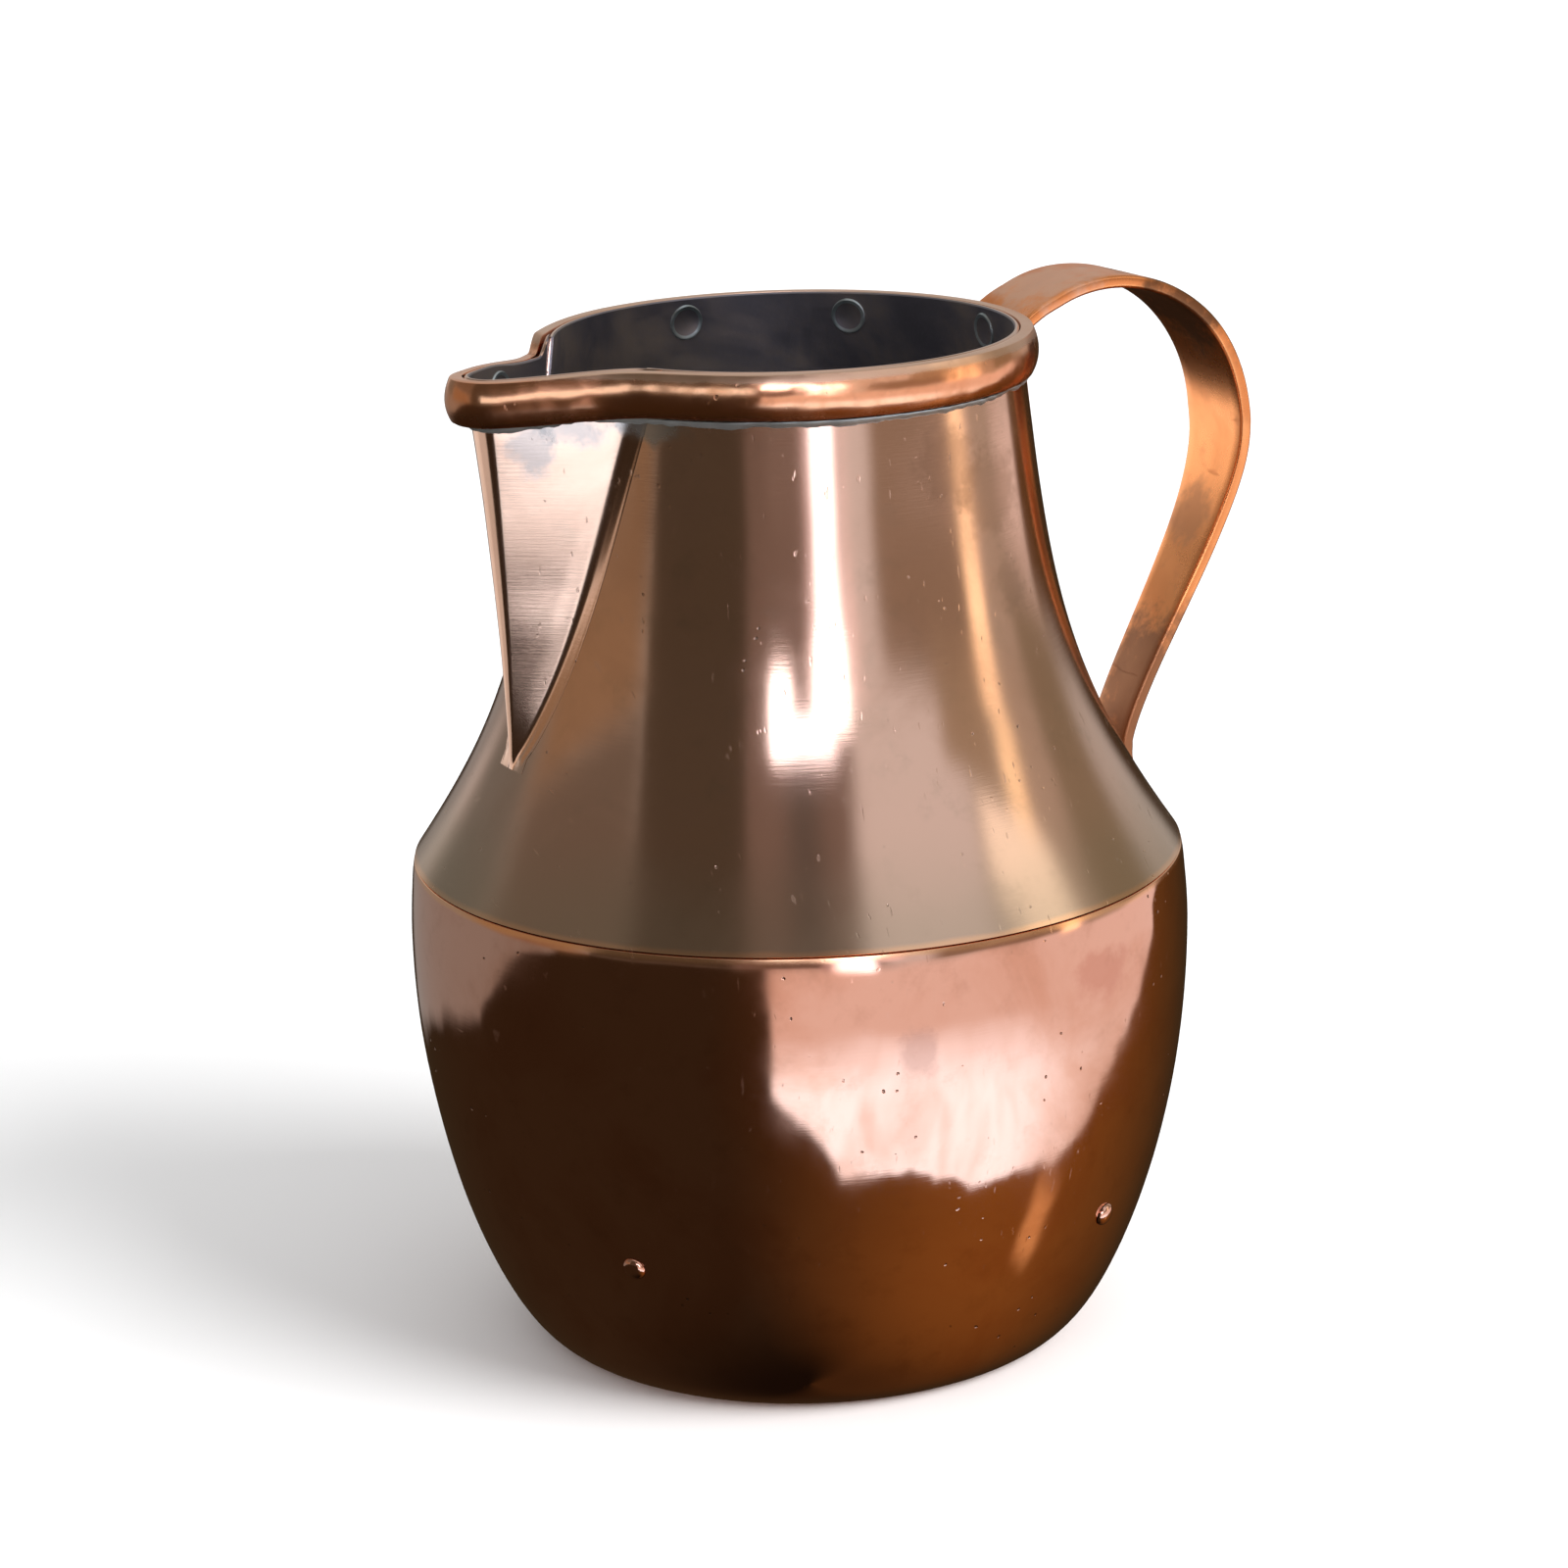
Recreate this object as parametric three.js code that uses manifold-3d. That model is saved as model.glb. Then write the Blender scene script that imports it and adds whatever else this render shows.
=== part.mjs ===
// A coppersmith's water jug: raised bowl, flared neck, let-in spout, half-round rim and strap handle.
// Millimetres, +Z up. The jug's axis is the Z axis and it stands on z = 0.
// The handle points along +X and the spout along -X.
import * as THREE from "three";
import { mergeVertices } from "three/addons/utils/BufferGeometryUtils.js";
import Module from "manifold-3d";

const wasm = await Module();
wasm.setup();

// Sheet and clearances
const sheet = 1.2; // copper sheet of the bowl, neck, spout and base
const gap = 0.3; // clearance between pieces that touch
const ringSteps = 48; // segments round the jug
const wallSteps = 12; // segments up each shell
const rivetSteps = 12; // segments round a rivet

// Bowl and base
const discRadius = 56; // base disc let into the bowl's turned-in edge
const baseRadius = 63; // flat part of the underside
const baseRound = 14; // how far the underside's rounding carries on outwards
const bellyRadius = 96.6;
const bellyHeight = 103;
const bellyFullness = 50; // how upright the wall stands below the belly

// Neck
const shoulderInset = 1.6; // how far the shoulder's edge stands in from the belly
const shoulderRadius = bellyRadius - shoulderInset;
const shoulderHeight = 123;
const rimRadius = 56.5; // outside of the neck's sheet at the rim
const rimHeight = 251;
const shoulderSlope = 0.68; // inward run for each unit of rise just above the shoulder
const rimSlope = 0.12; // the same just below the rim
const flareLength = 0.35; // share of the neck's height that follows the shoulder's slope
const collarLength = 0.47; // share of the neck's height that follows the rim's slope
const skirtDepth = 6; // part of the neck's lower edge that fits inside the bowl

// Spout
const spoutTipRise = 34; // lower end of its keel, above the shoulder
const spoutHalfWidth = 27; // half the distance between its seams at the rim
const spoutReach = 27.2; // how far its keel stands out from the neck at the rim
const noseRadius = 8; // rounding of the keel at the rim
const tipRadius = 1.8; // rounding of the keel at its lower tip
const tipHalfWidth = 2.4;
const tipReach = 1.6; // how far the tip stands out from the neck
const seamCurve = 0.78; // below 1 the seams bow outwards
const keelCurve = 1.6; // above 1 the keel leans out towards the rim
const seamRun = 9.6; // how far its form carries on through the seams into the neck
const spoutDip = 2.5; // how far its rim hangs below the neck's at the nose
const spoutDipDepth = 30; // how far below the rim that hang starts
const hangStep = 8; // longest edge of the facets that follow it
const spoutRivetPlace = 0.25; // place of its rivets, as a share of the way from the nose to the seam
const flangeWidth = 4; // lap of the spout's edge on the neck
const flangeSheet = 0.6; // that lap is beaten thinner

// Rim moulding: half-round bar round the outside of the mouth
const mouldingHeight = 11;
const mouldingDepth = 4.9; // furthest that it stands out from the neck's top edge
const mouldingTop = 3.2; // width of its flat top
const mouldingFoot = 2.8; // how far its lower edge stands out
const solderLeg = 1.1; // solder bead under the moulding

// Handle
const strapWidth = 25.4; // from the tail to the furthest point
const footWidth = 16;
const taperDepth = 34; // where the strap starts to narrow, below the rim
const taperCurve = 2.2; // above 1 it narrows most at its upper end
const strapThickness = 3.2;
const strapChamfer = 0.7;
const tailDepth = 48; // lower end of the tail on the neck, below the rim
const bendDepth = 13; // where the strap leaves the neck, below the rim
const exitDepth = 4.7; // middle of the strap as it clears the rim, below the rim
const exitOut = 4.5; // the same point, outwards from the rim's radius
const archRise = 20; // pull of the arch above that point
const archFullness = 41; // how upright the strap stands above its furthest point
const bendPull = 0.6; // how far the bend out of the tail keeps to the neck
const bendPlace = 0.66; // how high that bend is tightest, as a share of its rise
const handleReach = 68.9; // furthest that the strap's middle stands out from the rim's radius
const waistDepth = 38; // height of the furthest point, below the rim
const waistFullness = 22; // how upright the strap stands below its furthest point
const landingRise = 13.5; // where the strap comes down on the shoulder
const landingInset = 0.4; // how far it has come in there from where it touches
const touchRise = 6.1; // where it first touches the neck, above the shoulder
const landingPull = 18.5;
const landingSpread = 4.6; // how far that pull leans outwards
const footDepth = 28; // lower end of the foot on the bowl, below the shoulder
const endHalfWidth = 4; // the strap's ends are rounded down to this
const dishRun = 12; // length over which the strap takes up the curve of the wall behind
const strapSteps = 52;

// Rivets
const rivetShank = 2.2;
const rivetHead = 4.6;
const headHeight = 0.6;
const headGap = 0.5; // clearance of a flat head on the hollow side of a wall
const rimRivetDepth = 6; // below the rim
const rimRivetReach = 3; // how deep the shank goes into the moulding
const rimRivetAngles = [-90, -45, 0, 45, 88];
const tailRivetDepth = 37;
const domeRadius = 3.8;
const domeHeight = 1.8;
const footRivetSpacing = 10.4;
const bowlRivetHeight = 41.5;
const bowlRivetAngles = [-146, -63, 34, 117];
const bowlRivetDome = 2.9;
const bowlRivetRise = 1.6;

const up = new THREE.Vector3(0, 0, 1);
const { lerp, clamp, degToRad, smoothstep } = THREE.MathUtils;
const spoutBottom = shoulderHeight + spoutTipRise;
const spoutDepth = rimHeight - spoutBottom;
const aboveRim = rimHeight + 2 * mouldingHeight; // top of the forms that run past the rim

// Outer faces of the bowl and the neck, as (radius, height), both rising.
function bowlCurve() {
  const path = new THREE.CurvePath();
  const corner = new THREE.Vector2(baseRadius, 0);
  const roundEnd = new THREE.Vector2(baseRadius + baseRound, 0);
  const uprightStart = new THREE.Vector2(bellyRadius, bellyHeight - bellyFullness);
  const belly = new THREE.Vector2(bellyRadius, bellyHeight);
  const aboveBelly = new THREE.Vector2(bellyRadius, lerp(bellyHeight, shoulderHeight, 0.5));
  const shoulder = new THREE.Vector2(shoulderRadius, shoulderHeight);
  path.add(new THREE.CubicBezierCurve(corner, roundEnd, uprightStart, belly));
  path.add(new THREE.QuadraticBezierCurve(belly, aboveBelly, shoulder));
  return path;
}

function neckCurve() {
  const flare = flareLength * (rimHeight - shoulderHeight);
  const collar = collarLength * (rimHeight - shoulderHeight);
  return new THREE.CubicBezierCurve(
    new THREE.Vector2(shoulderRadius, shoulderHeight),
    new THREE.Vector2(shoulderRadius - shoulderSlope * flare, shoulderHeight + flare),
    new THREE.Vector2(rimRadius + rimSlope * collar, rimHeight - collar),
    new THREE.Vector2(rimRadius, rimHeight),
  );
}

const bowlOutline = bowlCurve();
const neckOutline = neckCurve();

// The point of a rising outline at one height, moved outwards along its normal.
function wallPoint(outline, height, outwards = 0) {
  let low = 0;
  let high = 1;
  for (let i = 0; i < 40; i++) {
    const middle = (low + high) / 2;
    if (outline.getPoint(middle).y < height) low = middle;
    else high = middle;
  }
  const point = outline.getPoint(low);
  const tangent = outline.getTangent(low);
  return new THREE.Vector2(point.x + tangent.y * outwards, point.y - tangent.x * outwards);
}

const neckRadius = (height) => wallPoint(neckOutline, Math.min(height, rimHeight)).x;

// Every point of an outline moved outwards by the same distance.
function offsetOutline(points, distance) {
  return points.map((point, i) => {
    const before = points[Math.max(i - 1, 0)];
    const after = points[Math.min(i + 1, points.length - 1)];
    const along = after.clone().sub(before).normalize();
    return new THREE.Vector2(point.x + along.y * distance, point.y - along.x * distance);
  });
}

function lathe(profile, steps = ringSteps) {
  return new THREE.LatheGeometry(profile, steps).rotateX(Math.PI / 2);
}

// A closed skin over rings of equally many points, with flat ends.
function skin(rings) {
  const count = rings[0].length;
  const index = [];
  for (let r = 0; r < rings.length - 1; r++) {
    for (let i = 0; i < count; i++) {
      const here = r * count + i;
      const next = r * count + ((i + 1) % count);
      index.push(here, next, next + count, here, next + count, here + count);
    }
  }
  const last = (rings.length - 1) * count;
  for (let i = 1; i < count - 1; i++) index.push(0, i + 1, i, last, last + i, last + i + 1);
  const geometry = new THREE.BufferGeometry().setFromPoints(rings.flat());
  geometry.setIndex(index);
  return geometry;
}

// manifold-3d solids, always facing outwards.
function toSolid(geometry) {
  const bare = geometry.clone();
  bare.deleteAttribute("normal");
  bare.deleteAttribute("uv");
  const merged = mergeVertices(bare, 1e-4);
  const vertProperties = merged.attributes.position.array;
  const triVerts = new Uint32Array(merged.index.array);
  const solid = new wasm.Manifold(new wasm.Mesh({ numProp: 3, vertProperties, triVerts }));
  if (solid.volume() > 0) return solid;
  return new wasm.Manifold(new wasm.Mesh({ numProp: 3, vertProperties, triVerts: triVerts.reverse() }));
}

function toGeometry(solid) {
  const mesh = solid.getMesh();
  const geometry = new THREE.BufferGeometry();
  geometry.setAttribute("position", new THREE.BufferAttribute(mesh.vertProperties, 3));
  geometry.setIndex(new THREE.BufferAttribute(mesh.triVerts, 1));
  return geometry;
}

const copper = { color: 0xb3673c, roughness: 0.25, metalness: 1 };
const tarnished = { color: 0x8a6a5c, roughness: 0.32, metalness: 1 };
const tin = { color: 0xb9bcbd, roughness: 0.45, metalness: 1 };

const jug = new THREE.Group();

function addPiece(name, geometry, finish) {
  const mesh = new THREE.Mesh(geometry, new THREE.MeshStandardMaterial(finish));
  mesh.name = name;
  jug.add(mesh);
}

// The neck filled in to the axis, grown outwards, and run past the rim.
function neckCore(outwards) {
  const wall = offsetOutline(neckOutline.getSpacedPoints(wallSteps), outwards);
  const profile = [new THREE.Vector2(0, wall[0].y), ...wall];
  profile.push(new THREE.Vector2(wall.at(-1).x, aboveRim), new THREE.Vector2(0, aboveRim));
  return toSolid(lathe(profile));
}

// Rounded V of the spout in plan at one height, grown outwards by a distance.
// Its sides run on through the seams into the neck.
function spoutSection(height, outwards, arcSteps = 8) {
  const rise = clamp((height - spoutBottom) / spoutDepth, 0, 1);
  const halfWidth = lerp(tipHalfWidth, spoutHalfWidth, rise ** seamCurve);
  const keel = lerp(neckRadius(spoutBottom) + tipReach, rimRadius + spoutReach, rise ** keelCurve);
  const nose = lerp(tipRadius, noseRadius, rise);
  const seamX = Math.sqrt(neckRadius(Math.max(height, spoutBottom)) ** 2 - halfWidth ** 2);
  const centre = keel - nose;
  const reach = Math.hypot(seamX - centre, halfWidth);
  const turn = Math.atan2(halfWidth, seamX - centre) - Math.acos(Math.min(nose / reach, 1));
  const radius = nose + outwards;
  const points = [];
  for (let i = 0; i <= arcSteps; i++) {
    const angle = lerp(turn, -turn, i / arcSteps);
    points.push(new THREE.Vector3(-centre - radius * Math.cos(angle), radius * Math.sin(angle), height));
  }
  const sideX = -Math.sin(turn);
  const sideY = Math.cos(turn);
  const run = Math.sqrt(Math.max(reach ** 2 - nose ** 2, 0)) + Math.min(halfWidth / 2, seamRun);
  const first = points[0];
  const last = points.at(-1);
  const start = new THREE.Vector3(first.x - sideX * run, first.y + sideY * run, height);
  const end = new THREE.Vector3(last.x - sideX * run, last.y - sideY * run, height);
  return { outline: [start, ...points, end], side: first.clone().lerp(start, spoutRivetPlace) };
}

function spoutLoft(outwards, heights) {
  return toSolid(skin(heights.map((height) => spoutSection(height, outwards).outline)));
}

function spread(from, to, steps) {
  return Array.from({ length: steps + 1 }, (_, i) => lerp(from, to, i / steps));
}

// Outer and inner form of the spout; the inner one runs past the rim.
const spoutHeights = spread(spoutBottom - 2 * flangeWidth, rimHeight, 14);
const spoutOuter = spoutLoft(0, spoutHeights);
const spoutHollow = spoutLoft(-sheet, [
  ...spread(spoutBottom + 2 * sheet, rimHeight, 12),
  aboveRim,
]);

// How far the spout's rim, and all that is fixed to it, hangs down at one point.
const rimSeamX = Math.sqrt(rimRadius ** 2 - spoutHalfWidth ** 2);
function hang(x, z) {
  const out = smoothstep(-x, rimSeamX, rimRadius + spoutReach);
  return spoutDip * out * smoothstep(z, rimHeight - spoutDipDepth, rimHeight - mouldingHeight);
}

function hung(solid) {
  return solid.refineToLength(hangStep).warp((point) => {
    point[2] -= hang(point[0], point[2]);
  });
}

// Frames that stand on a face: local Z points outwards along its normal.
function frameOn(point, normal) {
  const turn = new THREE.Quaternion().setFromUnitVectors(up, normal.clone().normalize());
  return new THREE.Matrix4().compose(point, turn, new THREE.Vector3(1, 1, 1));
}

function frameOnWall(outline, height, angle) {
  const on = wallPoint(outline, height);
  const off = wallPoint(outline, height, 1);
  const turned = (p) => new THREE.Vector3(p.x * Math.cos(angle), p.x * Math.sin(angle), p.y);
  return frameOn(turned(on), turned(off).sub(turned(on)));
}

// side is 1 or -1: the spout's cheek on +Y or -Y.
function frameOnSpout(height, side) {
  const here = spoutSection(height, 0).side;
  const above = spoutSection(height + 1, 0).side;
  const outer = spoutSection(height, 1).side;
  const rising = above.sub(here).normalize();
  const normal = outer.sub(here);
  normal.addScaledVector(rising, -normal.dot(rising));
  const mirror = new THREE.Vector3(1, side * Math.sign(here.y), 1);
  return frameOn(here.multiply(mirror), normal.multiply(mirror));
}

function rivetHole(frame, from, to) {
  const hole = new THREE.CylinderGeometry(rivetShank + gap, rivetShank + gap, to - from, rivetSteps);
  hole.rotateX(Math.PI / 2).translate(0, 0, (from + to) / 2);
  return toSolid(hole.applyMatrix4(frame));
}

// A rivet from its flat inner head through a wall to its end, which may be a domed head.
function rivet(name, frame, innerFace, end, finish, dome) {
  const headTop = innerFace - headGap;
  const headBase = headTop - headHeight;
  const innerRadius = dome ? dome.inner : rivetHead;
  const profile = [
    new THREE.Vector2(0, headBase),
    new THREE.Vector2(innerRadius - headHeight, headBase),
    new THREE.Vector2(innerRadius, headTop - headHeight / 3),
    new THREE.Vector2(innerRadius, headTop),
    new THREE.Vector2(rivetShank, headTop),
    new THREE.Vector2(rivetShank, end),
  ];
  if (dome) {
    for (const t of spread(0, 1, 3)) {
      const angle = (t * Math.PI) / 2;
      const radius = dome.radius * Math.cos(angle);
      profile.push(new THREE.Vector2(radius < 1e-6 ? 0 : radius, end + dome.height * Math.sin(angle)));
    }
  } else {
    profile.push(new THREE.Vector2(0, end));
  }
  addPiece(name, toGeometry(hung(toSolid(lathe(profile, rivetSteps).applyMatrix4(frame)))), finish);
}

// Middle line of the handle in the XZ plane, from the tail's lower end to the foot's.
function handleLine() {
  const lift = gap + strapThickness / 2;
  const tail = spread(rimHeight - tailDepth, rimHeight - bendDepth, 5);
  const tailPoints = tail.map((height) => wallPoint(neckOutline, height, lift));
  const leave = tailPoints.at(-1);
  const exit = new THREE.Vector2(rimRadius + exitOut, rimHeight - exitDepth);
  const bendUp = new THREE.Vector2(leave.x - bendPull, lerp(leave.y, exit.y, bendPlace));
  const waist = new THREE.Vector2(rimRadius + handleReach, rimHeight - waistDepth);
  const aboveWaist = new THREE.Vector2(waist.x, waist.y + archFullness);
  const belowWaist = new THREE.Vector2(waist.x, waist.y - waistFullness);
  const aboveExit = new THREE.Vector2(exit.x + archRise, exit.y + archRise);
  const footLift = lift + gap;
  const touch = wallPoint(neckOutline, shoulderHeight + touchRise, footLift);
  const landing = new THREE.Vector2(touch.x - landingInset, shoulderHeight + landingRise);
  const aboveLanding = new THREE.Vector2(landing.x + landingSpread, landing.y + landingPull);
  const crease = new THREE.Vector2(shoulderRadius + footLift, shoulderHeight + gap);
  const footHeights = spread(shoulderHeight - footDepth / 3, shoulderHeight - footDepth, 2);
  const foot = footHeights.map((height) => wallPoint(bowlOutline, height, footLift));
  const path = new THREE.CurvePath();
  path.add(new THREE.SplineCurve(tailPoints));
  path.add(new THREE.QuadraticBezierCurve(leave, bendUp, exit));
  path.add(new THREE.CubicBezierCurve(exit, aboveExit, aboveWaist, waist));
  path.add(new THREE.CubicBezierCurve(waist, belowWaist, aboveLanding, landing));
  path.add(new THREE.SplineCurve([landing, touch, crease, ...foot]));
  return path;
}

// The strap as a solid, grown all round by a distance. Its ends are rounded in outline,
// and it is dished to the neck at its tail and to the bowl at its foot.
function strap(grown) {
  const path = handleLine();
  const length = path.getLength();
  const points = path.getSpacedPoints(strapSteps);
  const taperStart = rimHeight - taperDepth;
  const rings = points.map((point, i) => {
    const before = points[Math.max(i - 1, 0)];
    const after = points[Math.min(i + 1, strapSteps)];
    const along = after.clone().sub(before).normalize();
    const fallen = along.y < 0 ? clamp((taperStart - point.y) / (taperStart - shoulderHeight), 0, 1) : 0;
    const half = lerp(footWidth, strapWidth, (1 - fallen) ** taperCurve) / 2;
    const travelled = (length * i) / strapSteps;
    const toEnd = Math.min(travelled, length - travelled);
    const rounding = half - Math.sqrt(Math.max(half ** 2 - Math.max(half - toEnd, 0) ** 2, 0));
    const width = Math.max(half - rounding, endHalfWidth) + grown;
    const thick = strapThickness / 2 + grown;
    const tailLeft = tailDepth - travelled;
    const footLeft = footDepth + landingRise - (length - travelled);
    const onNeck = clamp(tailLeft / dishRun + 0.5, 0, 1) / rimRadius;
    const onBowl = clamp(footLeft / dishRun, 0, 1) / bellyRadius;
    const place = (across, through) => {
      const lifted = through + ((onBowl - onNeck) * across ** 2) / 2;
      return new THREE.Vector3(point.x + along.y * lifted, across, point.y - along.x * lifted);
    };
    const edge = width - strapChamfer;
    const face = thick - strapChamfer;
    const outerFace = [-edge, -edge / 2, 0, edge / 2, edge].map((across) => place(across, thick));
    const innerFace = [edge, edge / 2, 0, -edge / 2, -edge].map((across) => place(across, -thick));
    return [
      place(-width, -face),
      place(-width, face),
      ...outerFace,
      place(width, face),
      place(width, -face),
      ...innerFace,
    ];
  });
  return toSolid(skin(rings));
}

// Frames of the rivets
const rimRivets = rimRivetAngles.map((angle) =>
  frameOnWall(neckOutline, rimHeight - rimRivetDepth, degToRad(angle)),
);
for (const side of [-1, 1]) rimRivets.push(frameOnSpout(rimHeight - rimRivetDepth, side));
const tailRivet = frameOnWall(neckOutline, rimHeight - tailRivetDepth, 0);
const footRivetTop = shoulderHeight - skirtDepth - rivetHead - 2 * gap;
const footRivets = [0, 1].map((i) => frameOnWall(bowlOutline, footRivetTop - i * footRivetSpacing, 0));
const bowlRivets = bowlRivetAngles.map((angle) =>
  frameOnWall(bowlOutline, bowlRivetHeight, degToRad(angle)),
);
const strapFace = gap + strapThickness;
const footFace = strapFace + gap;

function drill(solid, frames, from, to) {
  return frames.reduce((left, frame) => left.subtract(rivetHole(frame, from, to)), solid);
}

// Bowl: one raised shell, turned in under the jug round the base disc.
function makeBowl() {
  const [lower, upper] = bowlOutline.curves;
  const wall = [...lower.getPoints(wallSteps - 2), ...upper.getPoints(2).slice(1)];
  const outer = [new THREE.Vector2(discRadius + gap, 0), ...wall];
  const lining = offsetOutline(wall, -sheet);
  lining[0].set(baseRadius, sheet);
  lining.at(-1).y = shoulderHeight;
  const inner = [new THREE.Vector2(discRadius + gap, sheet), ...lining].reverse();
  const shell = toSolid(lathe([...outer, ...inner, outer[0].clone()]));
  const holed = drill(shell, [...footRivets, ...bowlRivets], -2 * sheet, sheet);
  addPiece("bowl", toGeometry(holed), copper);
}

function makeBaseDisc() {
  addPiece("base_disc", toGeometry(toSolid(lathe([
    new THREE.Vector2(0, 0),
    new THREE.Vector2(discRadius, 0),
    new THREE.Vector2(discRadius, sheet),
    new THREE.Vector2(0, sheet),
  ]))), copper);
}

// Neck: a flared shell that stands on the bowl's edge, with a skirt inside it and an opening to the spout.
function makeNeck() {
  const wall = neckOutline.getSpacedPoints(wallSteps);
  wall[0] = wallPoint(neckOutline, shoulderHeight + gap);
  const lining = offsetOutline(wall, -sheet);
  lining.at(-1).y = rimHeight;
  const skirtOuter = shoulderRadius - sheet - gap;
  const skirtBottom = shoulderHeight - skirtDepth;
  const skirtInner = skirtOuter - sheet;
  lining[0].set(skirtInner, shoulderHeight + gap);
  const profile = [
    new THREE.Vector2(skirtInner, skirtBottom),
    new THREE.Vector2(skirtOuter, skirtBottom),
    new THREE.Vector2(skirtOuter, shoulderHeight + gap),
    ...wall,
    ...lining.reverse(),
    new THREE.Vector2(skirtInner, skirtBottom),
  ];
  const shell = toSolid(lathe(profile)).subtract(spoutHollow);
  addPiece("neck", toGeometry(drill(shell, [...rimRivets, tailRivet], -2 * sheet, sheet)), tarnished);
}

// Spout: a folded V of sheet outside the neck, with a thin lap along its seams.
function makeSpout() {
  const lapTop = rimHeight - mouldingHeight - solderLeg - 2 * gap;
  const lapRings = spread(spoutBottom - flangeWidth, lapTop, 12).map((height) => {
    const rise = clamp((height - spoutBottom) / spoutDepth, 0, 1);
    const half = lerp(tipHalfWidth, spoutHalfWidth, rise ** seamCurve) + flangeWidth;
    const inside = -neckRadius(height) * 0.75;
    const outside = -neckRadius(height) - 2 * flangeWidth;
    const corner = (x, y) => new THREE.Vector3(x, y, height);
    return [corner(inside, half), corner(outside, half), corner(outside, -half), corner(inside, -half)];
  });
  const lap = toSolid(skin(lapRings)).intersect(neckCore(gap + flangeSheet));
  const shell = spoutOuter.add(lap).subtract(spoutHollow).subtract(neckCore(gap));
  addPiece("spout", toGeometry(hung(drill(shell, rimRivets, -2 * sheet, 2 * sheet))), tarnished);
}

// A ring round the mouth. At each level it has a height, the height whose outline it follows,
// and how far its outer face stands out from that outline.
function mouthRing(levels, growth) {
  const profile = levels.map(({ height, follows, out }) => {
    return new THREE.Vector2(neckRadius(follows) + out, height);
  });
  const bottom = new THREE.Vector2(0, levels[0].height);
  const round = toSolid(lathe([bottom, ...profile, new THREE.Vector2(0, levels.at(-1).height)]));
  const rings = levels.map(({ height, follows, out }) => {
    return spoutSection(follows, out).outline.map((point) => point.setZ(height));
  });
  const sleeve = spoutLoft(gap, [...spoutHeights, aboveRim]);
  const ring = round.add(toSolid(skin(rings))).subtract(neckCore(gap)).subtract(sleeve);
  return ring.subtract(strap(growth));
}

function makeMoulding() {
  const foot = rimHeight - mouldingHeight;
  const levels = [{ height: foot, follows: rimHeight, out: mouldingFoot }];
  for (const t of spread(0.15, 0.85, 4)) {
    const swell = Math.sin(t * Math.PI) ** 0.7;
    const straight = lerp(mouldingFoot, mouldingTop, t);
    const out = lerp(straight, mouldingDepth, swell);
    levels.push({ height: foot + t * mouldingHeight, follows: rimHeight, out });
  }
  levels.push({ height: rimHeight, follows: rimHeight, out: mouldingTop });
  const ring = mouthRing(levels, gap);
  addPiece("rim_moulding", toGeometry(hung(drill(ring, rimRivets, -sheet, rimRivetReach + gap))), copper);
}

function makeRimSolder() {
  const top = rimHeight - mouldingHeight - gap;
  const foot = top - solderLeg;
  const bead = mouthRing([
    { height: foot, follows: foot, out: gap + solderLeg / 3 },
    { height: top, follows: top, out: gap + solderLeg },
  ], 2 * gap);
  addPiece("rim_solder", toGeometry(hung(bead)), tin);
}

function makeHandle() {
  let solid = drill(strap(0), [...rimRivets, tailRivet], 0, 3 * strapThickness);
  solid = drill(solid, footRivets, 0, 3 * strapThickness);
  addPiece("handle_strap", toGeometry(solid), copper);
}

function makeRivets() {
  rimRivets.forEach((frame, i) => {
    rivet(`rim_rivet_${i + 1}`, frame, -sheet, rimRivetReach, tin);
  });
  const strapDome = { radius: domeRadius, height: domeHeight, inner: rivetHead };
  rivet("tail_rivet", tailRivet, -sheet, strapFace + gap, copper, strapDome);
  footRivets.forEach((frame, i) => {
    rivet(`foot_rivet_${i + 1}`, frame, -sheet, footFace + gap, copper, strapDome);
  });
  const bowlDome = { radius: bowlRivetDome, height: bowlRivetRise, inner: bowlRivetDome };
  bowlRivets.forEach((frame, i) => {
    rivet(`bowl_rivet_${i + 1}`, frame, -sheet, gap, copper, bowlDome);
  });
}

makeBowl();
makeBaseDisc();
makeNeck();
makeSpout();
makeMoulding();
makeRimSolder();
makeHandle();
makeRivets();

export default jug;
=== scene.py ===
import math
import bpy
from mathutils import Matrix, Vector, noise


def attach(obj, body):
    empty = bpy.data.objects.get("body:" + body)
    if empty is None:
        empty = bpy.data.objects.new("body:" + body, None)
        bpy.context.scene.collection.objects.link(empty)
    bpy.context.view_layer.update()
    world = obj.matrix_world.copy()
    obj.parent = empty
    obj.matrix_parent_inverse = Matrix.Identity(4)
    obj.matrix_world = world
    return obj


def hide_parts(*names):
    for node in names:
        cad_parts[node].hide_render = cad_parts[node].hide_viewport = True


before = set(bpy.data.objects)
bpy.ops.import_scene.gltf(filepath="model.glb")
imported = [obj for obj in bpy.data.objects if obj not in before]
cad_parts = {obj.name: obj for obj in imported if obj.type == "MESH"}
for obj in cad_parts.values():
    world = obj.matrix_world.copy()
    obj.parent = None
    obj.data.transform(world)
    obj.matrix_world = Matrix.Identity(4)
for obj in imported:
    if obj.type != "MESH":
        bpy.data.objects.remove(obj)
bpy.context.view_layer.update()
bpy.ops.object.select_all(action="DESELECT")
mm = 0.001


# ---- curves and small sums that the pieces share

def mix(a, b, t):
    return a + (b - a) * t


def clamp(t, low=0.0, high=1.0):
    return max(low, min(high, t))


def ease(t, start, end):  # smooth step from start to end
    t = clamp((t - start) / (end - start))
    return t * t * (3 - 2 * t)


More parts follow.
